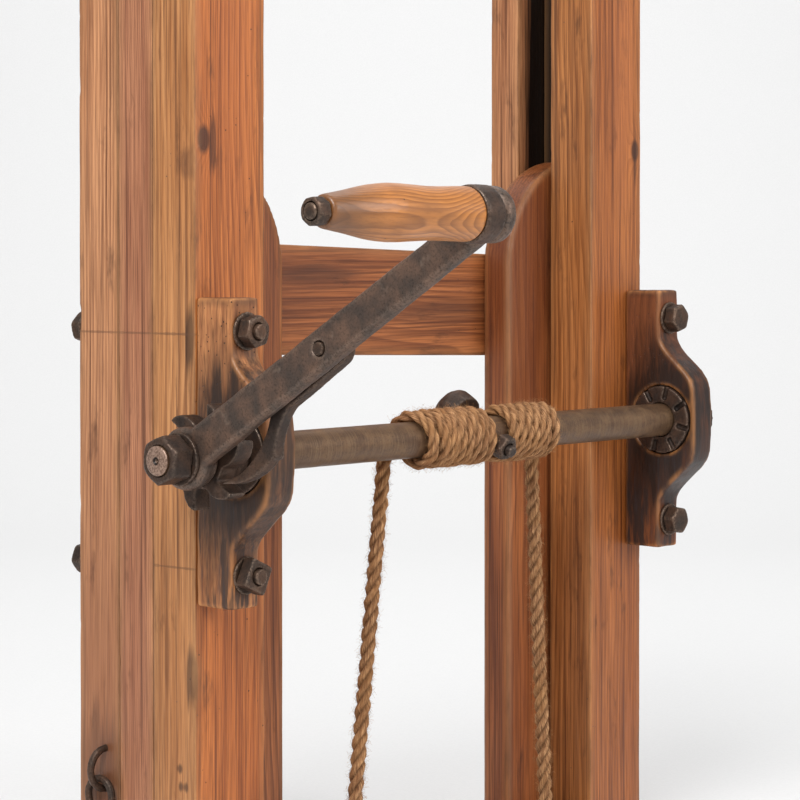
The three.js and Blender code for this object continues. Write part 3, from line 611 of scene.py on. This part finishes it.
# The left post: pink back board, mauve strip, and a honey front board with an orange front face.
# Each board has its node, shade, pith, ring width, and what marks it.
left_boards = (
    (
        "left_back_stile",
        "pink",
        (-0.33, 0.16),
        0.0030,
        dict(
            holes=0.15,
            marks=(
                pencil_line(0.036, 0.4305),
                ((-0.254, 0.0175, 0.36), (0.006, 0.0014, 6.0), "3a1c10", 0.7),
                # Painted shade: the lower part of the outer face is made browner, darker towards the
                # bottom.
                ((-0.254, 0.03, -0.02), (0.05, 0.4, 0.42), "855238", 0.5),
                ((-0.254, 0.03, 0.125), (0.02, 0.03, 0.05), "4a2b1c", 0.5),
            ),
        ),
    ),
    (
        "left_groove_strip",
        "mauve",
        (-0.24, 0.40),
        0.0021,
        dict(holes=0.0, marks=(pencil_line(0.0, 0.4305),)),
    ),
    (
        "left_front_stile",
        "honey",
        (-0.14, -0.16),
        0.0034,
        dict(
            holes=0.62,
            face=(1, "f6cda0"),
            knots=(((-0.2455, -0.057, 0.561), 0.0062),),
            marks=(
                ((-0.2365, -0.057, 0.557), (0.0035, 0.004, 0.022), "3a1c0d", 0.7),
                ((-0.254, -0.050, 0.545), (0.004, 0.010, 0.012), "5d3a25", 0.5),
                ((-0.254, -0.056, 0.20), (0.006, 0.006, 0.022), "3a2012", 0.8),
                ((-0.254, -0.052, 0.427), (0.003, 0.004, 0.026), "2a160c", 0.8),
                ((-0.215, -0.057, 0.60), (0.02, 0.004, 0.11), "a65a2c", 0.35),
                ((-0.250, -0.041, 0.138), (0.006, 0.006, 0.004), "3c2112", 0.75),
                ((-0.250, -0.045, 0.126), (0.006, 0.006, 0.004), "3c2112", 0.75),
                ((-0.254, -0.0158, 0.36), (0.006, 0.0016, 6.0), "2a130a", 0.85),
                pencil_line(-0.036, 0.4305, 0.55),
                pencil_line(-0.036, 0.2734),
            ),
        ),
    ),
)
# The right post: pink back board, russet strip and tan front board, with near-black painted shade,
# partly dirt, laid deep in the groove on the back board and the strip.
right_boards = (
    (
        "right_back_stile",
        "pink",
        (0.10, 0.17),
        0.0028,
        # Near-black painted shade, partly dirt, on the back board's groove wall, deepening into the
        # groove.
        dict(holes=0.1, marks=(((0.219, 0.0172, 0.40), (0.026, 0.004, 2.2), "0c0502", 0.99),)),
    ),
    (
        "right_groove_strip",
        "russet",
        (0.02, 0.30),
        0.0024,
        # Near-black painted shade, partly dirt, on the strip's face at the bottom of the groove.
        dict(holes=0.0, marks=(((0.221, 0.0, 0.36), (0.022, 0.12, 2.2), "0c0502", 0.99),)),
    ),
    (
        "right_front_stile",
        "tan",
        (0.33, -0.14),
        0.0032,
        dict(
            holes=0.35,
            face=(1, "ffeedd"),
            knots=(((0.246, -0.057, 0.568), 0.0055),),
            marks=(
                ((0.246, -0.057, 0.560), (0.003, 0.004, 0.03), "3a1c0d", 0.6),
                ((0.225, -0.057, 0.63), (0.02, 0.004, 0.10), "b56b3c", 0.4),
            ),
        ),
    ),
)
post_chips = {
    "left_front_stile": ((0, 0.199, 0.017, 0.0034), (0, 0.36, 0.05, 0.0012)),
    "left_back_stile": ((3, 0.44, 0.008, 0.002), (3, 0.60, 0.006, 0.0016), (3, 0.31, 0.005, 0.0015)),
}
for index, (node, shade, pith, ring, details) in enumerate((*left_boards, *right_boards)):
    low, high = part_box(node)
    mesh = board(low, high, 2, post_arris, index + 1, post_chips.get(node, ()))
    wood = old_pine(node + "_pine", shade, 2, pith, ring, seed=index * 2.7, **details)
    slot = "strip_pine" if "strip" in node else "post_pine"
    piece(node + "_board", mesh, "frame", slot, wood, node)

# ---- Carriage ----
# Two round-topped pine plates slide in the grooves. A rail is screwed to their backs and a bearer,
# which the ropes pull on, to their fronts near the foot.
plate_grid, plate_rough = 0.0024, 0.00012
rail_middle, rail_half = (0, 0.0278, 0.448), Vector((0.184, 0.0135, 0.0405))
rail_tilt = math.radians(1.7)
rail_arris = 0.0014


def cad_copy(node):
    """A CAD node's mesh with its loose triangles joined."""
    mesh = nodes[node].data.copy()
    made = bmesh.new()
    made.from_mesh(mesh)
    bmesh.ops.remove_doubles(made, verts=made.verts, dist=2e-6)
    made.to_mesh(mesh)
    made.free()
    return mesh


def worn_copy(node, grid, soften, rough, seed, turn=None, fine=220.0):
    """A CAD node's shape on an even grid, its corners rubbed round and its faces made uneven."""
    least_bulge, full_bulge = 0.02, 0.10
    mesh = cad_copy(node)
    if turn is not None:
        mesh.transform(turn.inverted())
    holder = bpy.data.objects.new("worn", mesh)
    bpy.context.scene.collection.objects.link(holder)
    remesh = holder.modifiers.new("grid", "REMESH")
    remesh.mode = "VOXEL"
    remesh.voxel_size = grid
    bpy.context.view_layer.update()
    depsgraph = bpy.context.evaluated_depsgraph_get()
    made = bpy.data.meshes.new_from_object(holder.evaluated_get(depsgraph))
    bpy.data.objects.remove(holder)
    count = len(made.vertices)
    place = np.zeros(count * 3)
    made.vertices.foreach_get("co", place)
    place = place.reshape(-1, 3)
    pairs = np.zeros(len(made.edges) * 2, int)
    made.edges.foreach_get("vertices", pairs)
    pairs = pairs.reshape(-1, 2)
    near = np.bincount(pairs.ravel(), minlength=count).clip(1)[:, None]

    def around(values):
        total = np.zeros_like(values)
        np.add.at(total, pairs[:, 0], values[pairs[:, 1]])
        np.add.at(total, pairs[:, 1], values[pairs[:, 0]])
        return total / near

    for _ in range(soften):
        place = place * 0.5 + around(place) * 0.5
    made.vertices.foreach_set("co", place.ravel())
    made.update()
    facing = np.zeros(count * 3)
    made.vertices.foreach_get("normal", facing)
    facing = facing.reshape(-1, 3)
    bulge = ((place - around(place)) * facing).sum(1)[:, None]
    for _ in range(3):
        bulge = bulge * 0.4 + around(bulge) * 0.6
    bulge = bulge[:, 0] / grid
    keep(made, "wear", np.clip((bulge - least_bulge) / full_bulge, 0, 1))
    keep(made, "grime", np.clip((-bulge - least_bulge) / full_bulge, 0, 1))
    lift = []
    for p in place:
        small = noise.noise(Vector(p) * fine + Vector((seed, 0, 0)))
        large = noise.noise(Vector(p) * fine * 0.3 + Vector((0, seed, 0)))
        lift.append(small * 0.6 + large - 0.5)
    place = place + facing * (np.array(lift) * rough)[:, None]
    made.vertices.foreach_set("co", place.ravel())
    if turn is not None:
        made.transform(turn)
    made.shade_smooth()
    return made


plate_finish = {
    "left": old_pine(
        "left_plate_pine", "russet", grain=2, pith=(-0.17, -0.09), ring=0.0032, seed=21.0, holes=0.1
    ),
    "right": old_pine(
        "right_plate_pine",
        "russet",
        grain=2,
        pith=(0.185, -0.16),
        ring=0.0034,
        seed=24.0,
        holes=0.1,
        marks=(
            ((0.13, -0.013, 0.50), (0.02, 0.02, 0.11), "7a3f22", 0.5),
            ((0.126, -0.010, 0.555), (0.08, 0.03, 0.012), "4a2814", 0.6),
            ((0.150, -0.013, 0.47), (0.05, 0.04, 0.16), "5a2a14", 0.55),
        ),
    ),
}
for hand, wood in plate_finish.items():
    node = f"{hand}_carriage_plate"
    mesh = worn_copy(node, plate_grid, 3, plate_rough, seed=5.0, fine=60.0)
    piece(f"{hand}_plate", mesh, "carriage", "carriage_pine", wood, node)

rail_turn = Matrix.Translation(rail_middle) @ Matrix.Rotation(rail_tilt, 4, "Y")
rail_mesh = board(-rail_half, rail_half, 0, rail_arris, seed=31, turn=rail_turn)
rail_wood = old_pine(
    "rail_pine",
    "russet",
    grain=0,
    pith=(-0.02, 0.40),
    ring=0.0036,
    seed=33.0,
    holes=0.1,
    marks=(
        ((-0.06, 0.014, 0.470), (0.06, 0.03, 0.010), "4d2a1a", 0.6),
        ((0.10, 0.014, 0.440), (0.09, 0.03, 0.012), "4d2a1a", 0.5),
    ),
)
piece("cross_rail_board", rail_mesh, "carriage", "carriage_pine", rail_wood, "cross_rail")
bearer_mesh = board(*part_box("tray_bearer"), 0, rail_arris, seed=37)
bearer_wood = old_pine(
    "bearer_pine", "brown", grain=0, pith=(-0.12, 0.09), ring=0.0056, seed=39.0, holes=0.3
)
piece("tray_bearer_board", bearer_mesh, "carriage", "carriage_pine", bearer_wood, "tray_bearer")

# ---- Bearing blocks ----
# Bulging blocks sawn from thick plank, bolted on edge to the posts' fronts. Beetle holes, black
# grease from the bearing and pale rubbed arrises tell their age.


def block_finish(name, pale, dark, seed, grease, holes):
    """Block wood: grease spreads from the bore and burns sit low, over tan wood with long streaks."""
    grease_rise, grease_width, ring = 0.055, 0.046, 0.0068
    made = Finish(name)
    split = made.add("ShaderNodeSeparateXYZ", {0: made.place}).outputs
    drawn = made.moved(made.place, (420, 420, 34), (seed, 0, 0))
    fibre = made.cloud(drawn, 1, 3, 0.65)
    streak = made.cloud(made.moved(made.place, (90, 90, 12), (0, seed, 0)), 1, 4, 0.65)
    broad = made.cloud(made.moved(made.place, (34, 34, 14), (0, 0, seed)), 1, 3)
    ring_at = made.math("MULTIPLY_ADD", made.math("SUBTRACT", broad, 0.5), 0.018, split[1])
    phase = made.math("FRACT", made.math("DIVIDE", ring_at, ring))
    colour = made.mix(made.span(phase, 0.3, 0.95, 0, 0.45), tone(pale), tone(dark))
    colour = made.mix(made.span(fibre, 0.44, 0.66, 0, 0.7), colour, tone("5a3019"))
    colour = made.mix(made.span(broad, 0.5, 0.66, 0, 0.6), colour, tone("6a3d22"))
    rise = made.math("DIVIDE", made.math("SUBTRACT", split[2], shaft_z), grease_rise)
    front = made.math("DIVIDE", made.math("SUBTRACT", split[1], shaft_y), grease_width)
    squares = [made.math("MULTIPLY", way, way) for way in (rise, front)]
    far = made.math("SQRT", made.math("ADD", *squares))
    ragged = made.math("MULTIPLY_ADD", made.math("SUBTRACT", streak, 0.5), 2.4, far)
    black = made.math("MULTIPLY", made.span(ragged, 1.5, 0.7), grease)
    low = made.span(split[2], shaft_z - 0.005, shaft_z - 0.06)
    burnt = made.math("MULTIPLY", made.span(streak, 0.63 - 0.2 * grease, 0.73 - 0.2 * grease), low)
    worn = made.attribute("wear")
    colour = made.mix(made.math("MULTIPLY", black, 0.92), colour, tone("1c1614"))
    colour = made.mix(made.math("MULTIPLY", burnt, 0.88 * grease), colour, tone("272120"))
    blue = made.math("MULTIPLY", made.span(fibre, 0.55, 0.72), low)
    colour = made.mix(made.math("MULTIPLY", blue, 0.35 * grease), colour, tone("4a4a52"))
    top = made.span(split[2], shaft_z + 0.096, shaft_z + 0.104)
    colour = made.mix(made.math("MULTIPLY", top, 0.75), colour, tone("3b2a20"))
    edge = made.math("MULTIPLY", worn, made.span(streak, 0.62, 0.42))
    colour = made.mix(made.math("MULTIPLY", edge, 0.9), colour, tone("d49055"))
    high = made.span(split[2], shaft_z + 0.02, shaft_z + 0.07)
    colony = made.math("MULTIPLY", high, holes, clamp=True)
    bored = made.math("MULTIPLY", made.pits(made.place, 230, 0.15), colony)
    colour = made.mix(made.math("MULTIPLY", bored, 0.92), colour, tone("1a0c06"))
    height = made.math("MULTIPLY_ADD", fibre, 0.9, made.math("MULTIPLY", streak, 0.8))
    height = made.math("MULTIPLY_ADD", bored, -6.0, height)
    rough = made.span(made.math("SUBTRACT", fibre, black), -0.4, 0.6, 0.38, 0.62)
    return made.done(colour, rough, made.bump(height, 0.6, 0.0005), specular=0.4)


block_grid, block_rough = 0.0014, 0.0004
for hand, pale, dark, grease, holes, skin_seed, wood_seed in (
    ("left", "be8050", "84492a", 0.97, 1.0, 9.0, 7.0),
    ("right", "7a4526", "4c2916", 1.0, 0.25, 13.0, 8.0),
):
    node = f"{hand}_bearing_block"
    mesh = worn_copy(node, block_grid, 7, block_rough, skin_seed, fine=90.0)
    wood = block_finish(f"{hand}_block_wood", pale, dark, wood_seed, grease, holes)
    piece(f"{hand}_block", mesh, "frame", "block_wood", wood, node)

# ---- Forged iron ----
# Everything that turns, bolts or catches is hand-forged iron: nearly black in the corners, brown
# with old rust on the flats, and rubbed to a dull grey along the edges.


def iron_finish(name, base, rust, bare, roughness, glint=0.6):
    """Old iron: base colour with rust clouds and speckle, bare metal where edges are rubbed."""
    made = Finish(name)
    cloud = made.cloud(made.place, 70, 4, 0.6)
    speckle = made.cloud(made.place, 620, 3, 0.7)
    hammer = made.cloud(made.place, 150, 2)
    drag = made.cloud(made.moved(made.place, (260, 60, 60), (5, 0, 0), (0.53, 0, 0)), 1, 3, 0.7)
    colour = made.mix(made.span(cloud, 0.38, 0.66), tone(base), tone(rust))
    colour = made.mix(made.span(speckle, 0.5, 0.72, 0, 0.6), colour, tone("1f1814"))
    colour = made.mix(made.span(drag, 0.62, 0.8, 0, 0.4), colour, tone(bare))
    worn = made.math("MULTIPLY", made.attribute("wear"), made.span(speckle, 0.62, 0.4))
    colour = made.mix(made.math("MULTIPLY", worn, 0.7), colour, tone(bare))
    colour = made.mix(made.math("MULTIPLY", made.attribute("grime"), 0.75), colour, tone("120d0a"))
    height = made.math("MULTIPLY_ADD", hammer, 1.4, speckle)
    dull = made.math("SUBTRACT", speckle, worn)
    rough = made.span(dull, -0.2, 0.7, roughness - 0.12, roughness + 0.14)
    return made.done(colour, rough, made.bump(height, 0.5, 0.0004), metal=glint, specular=0.5)


black_iron = iron_finish("black_iron", "3c312b", "5a4335", "7d6c5e", roughness=0.46)
bolt_finish = iron_finish("bolt_iron_worn", "3d322b", "5c4232", "85705f", roughness=0.5)
hammered = 0.00022

hands = ("left", "right")
corners = [f"{hand}_{level}" for hand in hands for level in ("lower", "upper")]
washers = (
    "left_lower_front",
    "left_lower_back",
    "left_upper_back",
    "left_upper_front",
    "right_lower_front",
    "right_upper_front",
    "right_lower_back",
    "right_upper_back",
)
# Each piece of ironwork, the grid that it is remade on, and how many times its corners are softened.
ironwork = (
    *[(f"{hand}_bearing_bush", 0.0009, 2) for hand in hands],
    *[(f"{corner}_bolt", 0.0010, 1) for corner in corners],
    *[(f"{corner}_nut", 0.0008, 2) for corner in corners],
    *[(f"{washer}_washer", 0.0007, 1) for washer in washers],
    *[(f"{hand}_rail_screw", 0.0008, 1) for hand in hands],
    *[(f"{hand}_bearer_screw", 0.0008, 1) for hand in hands],
    *[(f"{hand}_rope_eye", 0.0006, 1) for hand in hands],
    ("end_collar_pin", 0.0006, 1),
    ("ratchet_wheel_pin", 0.0006, 1),
    ("pawl_rivet", 0.0007, 2),
    ("rope_anchor_nut", 0.0008, 2),
    ("crank_nut", 0.0008, 2),
    ("grip_spindle", 0.0009, 1),
    ("grip_nut", 0.0006, 2),
    ("crank_washer", 0.0007, 1),
    ("post_staple", 0.0005, 1),
    ("hang_ring", 0.0005, 1),
)
dark_nodes = ("left_bearing_bush", "right_bearing_bush", "crank_nut", "crank_washer")
for index, (node, grid, soften) in enumerate(ironwork):
    mesh = worn_copy(node, grid, soften, hammered, seed=20.0 + index, fine=260.0)
    dark = node in dark_nodes
    piece(
        node + "_worn",
        mesh,
        nodes[node]["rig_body"],
        "forged_iron" if dark else "bolt_iron",
        black_iron if dark else bolt_finish,
        node,
    )

# ---- Shaft ----
# A round bar of olive-brown iron, oily and scratched round and round by the ropes. Its crank end
# is rubbed bright and still has the hole of the turning centre, painted near-black as shade.
bright_from = -0.3228
shaft_uneven = 0.00012


def shaft_finish():
    """Olive-brown bar: rings of wear across it, mottled by oil, bright at the crank end, painted shade
    in the centre hole.
    """
    made = Finish("shaft_iron_worn")
    split = made.add("ShaderNodeSeparateXYZ", {0: made.place}).outputs
    mottle = made.cloud(made.moved(made.place, (70, 110, 110)), 1, 4, 0.65)
    rings = made.cloud(made.moved(made.place, (900, 30, 30)), 1, 3, 0.6)
    speckle = made.cloud(made.place, 700, 3, 0.7)
    colour = made.mix(made.span(mottle, 0.38, 0.64), tone("5c4433"), tone("74583f"))
    colour = made.mix(made.span(rings, 0.45, 0.7, 0, 0.4), colour, tone("8c7355"))
    colour = made.mix(made.span(speckle, 0.52, 0.72, 0, 0.55), colour, tone("33271d"))
    end = made.span(split[0], bright_from, bright_from - 0.001)
    bright = made.mix(made.span(speckle, 0.4, 0.6), tone("a58978"), tone("705748"))
    colour = made.mix(end, colour, bright)
    off = [made.math("SUBTRACT", split[1], shaft_y), made.math("SUBTRACT", split[2], shaft_z)]
    out = made.math("SQRT", made.math("ADD", *[made.math("MULTIPLY", o, o) for o in off]))
    # Painted shade: the turning-centre hole and a ring round it are painted near-black.
    centre = made.math("MULTIPLY", end, made.span(out, 0.0031, 0.0022))
    colour = made.mix(centre, colour, tone("0d0806"))
    height = made.math("ADD", made.math("MULTIPLY", rings, 0.7), speckle)
    rough = made.span(mottle, 0.35, 0.65, 0.38, 0.55)
    return made.done(colour, rough, made.bump(height, 0.4, 0.0003), metal=0.45, specular=0.5)


def turned_bar(profile, middle, sides, step, seed, rough):
    """A bar along X, turned to a profile of places and radii, with a slightly uneven skin."""
    places, radii = [], []
    for (x0, r0), (x1, r1) in zip(profile, profile[1:]):
        parts = max(1, round(abs(x1 - x0) / step))
        for i in range(parts):
            places.append(x0 + (x1 - x0) * i / parts)
            radii.append(r0 + (r1 - r0) * i / parts)
    places.append(profile[-1][0])
    radii.append(profile[-1][1])
    angles = np.arange(sides) * 2 * math.pi / sides
    rings = np.zeros((len(places), sides, 3))
    for i, (x, r) in enumerate(zip(places, radii)):
        for j, angle in enumerate(angles):
            spot = Vector((x * 90, math.cos(angle) * 2, math.sin(angle) * 2 + seed))
            out = max(0.0001, r - rough * (0.5 + 0.5 * noise.noise(spot)))
            rings[i, j] = (x, middle[0] + out * math.cos(angle), middle[1] + out * math.sin(angle))
    mesh = skin(rings)
    mesh.set_sharp_from_angle(angle=math.radians(35))
    return mesh


# Places along the shaft and radii there, from the turning centre to the far end.
shaft_profile = (
    (-0.3221, 0.0004),
    (-0.3246, 0.0026),
    (-0.3246, 0.0084),
    (-0.3240, 0.0094),
    (-0.3236, 0.0098),
    (-0.3049, 0.0098),
    (-0.3045, 0.0130),
    (0.2770, 0.0130),
    (0.2780, 0.0120),
    (0.2780, 0.0004),
)
shaft_mesh = turned_bar(
    shaft_profile, (shaft_y, shaft_z), sides=56, step=0.004, seed=2.0, rough=shaft_uneven
)
piece("shaft", shaft_mesh, "drum", "shaft_iron", shaft_finish(), "drum_shaft")

# ---- Ratchet wheel, collar and anchor bolt ----
# The wheel has six hooked teeth. A collar keeps the shaft in at its far end, and a bolt through
# the middle of the shaft, with a big domed head, nips the ropes' ends.
forged_rough = 0.0003
for node, grid, soften, seed in (
    ("ratchet_wheel", 0.0010, 3, 61.0),
    ("end_collar", 0.0010, 2, 62.0),
    ("rope_anchor_bolt", 0.0009, 2, 63.0),
):
    mesh = worn_copy(node, grid, soften, forged_rough, seed, fine=200.0)
    piece(node + "_worn", mesh, "drum", "forged_iron", black_iron, node)

# ---- Crank arm and pawl ----
# The arm is a flat bar drawn out under the hammer, chamfered along both edges, with an eye at each
# end. The pawl that drives the wheel hangs on a rivet through the arm.
arm_lean = math.radians(-31.65)
arm_rough, pawl_rough = 0.00035, 0.0004
arm_turn = Matrix.Translation((0, shaft_y, shaft_z)) @ Matrix.Rotation(arm_lean, 4, "X")
arm_finish = iron_finish("arm_iron", "4b3f38", "6e5546", "a48e7c", roughness=0.42, glint=0.5)
arm_mesh = worn_copy("crank_arm", 0.0011, 3, arm_rough, seed=71.0, turn=arm_turn, fine=140.0)
piece("crank_arm_worn", arm_mesh, "drum", "forged_iron", arm_finish, "crank_arm")
pawl_mesh = worn_copy("drive_pawl", 0.0009, 4, pawl_rough, seed=72.0, fine=170.0)
piece("drive_pawl_worn", pawl_mesh, "drive_pawl", "forged_iron", black_iron, "drive_pawl")

# ---- Grip ----
# A waisted handle of golden wood turned on the spindle, polished by hands, with cathedral figure
# on its side and an iron ferrule against the arm.
grip_middle = (-0.374, -0.3446, 0.5071)
grip_ring = 0.0021
grip_rough, ferrule_rough = 0.00015, 0.0002


def grip_finish():
    """Golden wood: nested ovals of grain, a darker skin at both ends, a few beetle holes."""
    made = Finish("grip_wood_polished")
    split = made.add("ShaderNodeSeparateXYZ", {0: made.place}).outputs
    along, across, rise = [made.math("SUBTRACT", s, m) for s, m in zip(split, grip_middle)]
    drift = made.math("SUBTRACT", made.cloud(made.moved(made.place, (12, 40, 40)), 1, 2), 0.5)
    depth = made.math("MULTIPLY_ADD", drift, 0.010, across)
    depth = made.math("ADD", depth, made.math("MULTIPLY", rise, 0.35))
    bow = made.math("MULTIPLY", made.math("MULTIPLY", along, along), 2.6)
    phase = made.math("FRACT", made.math("DIVIDE", made.math("SUBTRACT", depth, bow), grip_ring))
    line = made.math("MULTIPLY", made.span(phase, 0.2, 0.85), made.span(phase, 1.0, 0.9))
    fibre = made.cloud(made.moved(made.place, (45, 900, 900)), 1, 3, 0.6)
    patch = made.cloud(made.moved(made.place, (30, 70, 70)), 1, 3)
    colour = made.mix(made.math("MULTIPLY", line, 0.7), tone("c27d3e"), tone("7e4a20"))
    colour = made.mix(made.span(patch, 0.45, 0.7, 0, 0.5), colour, tone("8e5a33"))
    colour = made.mix(made.span(fibre, 0.48, 0.72, 0, 0.35), colour, tone("6b3d1c"))
    tip = made.span(split[0], -0.400, -0.430)
    colour = made.mix(made.math("MULTIPLY", tip, 0.75), colour, tone("5d3f2a"))
    heel = made.span(split[0], -0.318, -0.311)
    colour = made.mix(made.math("MULTIPLY", heel, 0.5), colour, tone("5d3f2a"))
    bored = made.math("MULTIPLY", made.pits(made.place, 90, 0.06), 0.9)
    colour = made.mix(bored, colour, tone("201008"))
    height = made.math("MULTIPLY_ADD", bored, -4.0, made.math("MULTIPLY_ADD", line, 0.3, fibre))
    rough = made.span(patch, 0.4, 0.7, 0.30, 0.46)
    return made.done(colour, rough, made.bump(height, 0.35, 0.0003), specular=0.5)


grip_mesh = worn_copy("grip", 0.0011, 3, grip_rough, seed=81.0, fine=60.0)
piece("grip_wood", grip_mesh, "grip", "grip_wood", grip_finish(), "grip")
collar_mesh = worn_copy("grip_collar", 0.0009, 2, ferrule_rough, seed=82.0)
piece("grip_collar_worn", collar_mesh, "grip", "forged_iron", black_iron, "grip_collar")

# ---- Studio ----
# A pale floor that runs up into a pale wall behind the hoist. One soft light stands high on the
# left, a broader one in front on the right, and the broadest shines down on the wall.


def studio_sheet():
    """Floor and wall as one sheet with a wide curve between them."""
    near, bend, radius, top, half_width = 6.0, 2.4, 1.2, 7.0, 9
    curve_parts = 12
    gap_below_feet = 0.0008
    rows = [(-near, 0.0), (bend, 0.0)]
    for i in range(1, curve_parts + 1):
        angle = math.pi / 2 * i / curve_parts
        rows.append((bend + radius * math.sin(angle), radius - radius * math.cos(angle)))
    rows.append((bend + radius, top))
    ahead, beside = Vector((0.756, 0.655, 0)), Vector((0.655, -0.756, 0))
    points, faces = [], []
    for reach, height in rows:
        for side in (-half_width, half_width):
            points.append(ahead * reach + beside * side + Vector((0, 0, height - gap_below_feet)))
    for i in range(len(rows) - 1):
        faces.append((2 * i, 2 * i + 1, 2 * i + 3, 2 * i + 2))
    mesh = bpy.data.meshes.new("studio_sheet")
    mesh.from_pydata([tuple(p) for p in points], [], faces)
    mesh.shade_smooth()
    return mesh


backdrop = bpy.data.objects.new("studio_sheet", studio_sheet())
bpy.context.scene.collection.objects.link(backdrop)
paper = Finish("studio_paper")
weave = paper.cloud(paper.place, 400, 2)
paper_colour = paper.mix(paper.span(weave, 0.3, 0.7), tone("e4e4e4"), tone("e8e8e8"))
paper_bump = paper.bump(weave, 0.02, 0.0002)
backdrop.data.materials.append(paper.done(paper_colour, 0.9, paper_bump, specular=0.1))


def soft_light(name, place, aim, size, power):
    """A square light sheet that faces a point."""
    data = bpy.data.lights.new(name, "AREA")
    data.shape, data.size, data.energy = "SQUARE", size, power
    made = bpy.data.objects.new(name, data)
    made.location = place
    made.rotation_euler = (Vector(aim) - Vector(place)).to_track_quat("-Z", "Y").to_euler()
    bpy.context.scene.collection.objects.link(made)


soft_light("key_sheet", (-1.55, -0.75, 1.75), aim=(-0.15, 0, 0.5), size=0.9, power=36)
soft_light("fill_sheet", (0.9, -2.7, 1.5), aim=(0, 0, 0.4), size=1.6, power=34)
soft_light("wall_sheet", (1.0, 0.9, 3.2), aim=(2.6, 2.3, 0.6), size=2.2, power=57)
world = bpy.data.worlds.new("studio_air")
world.use_nodes = True
world.node_tree.nodes["Background"].inputs["Color"].default_value = (1, 1, 1, 1)
world.node_tree.nodes["Background"].inputs["Strength"].default_value = 0.48
bpy.context.scene.world = world
bpy.context.scene.view_settings.view_transform = "Standard"
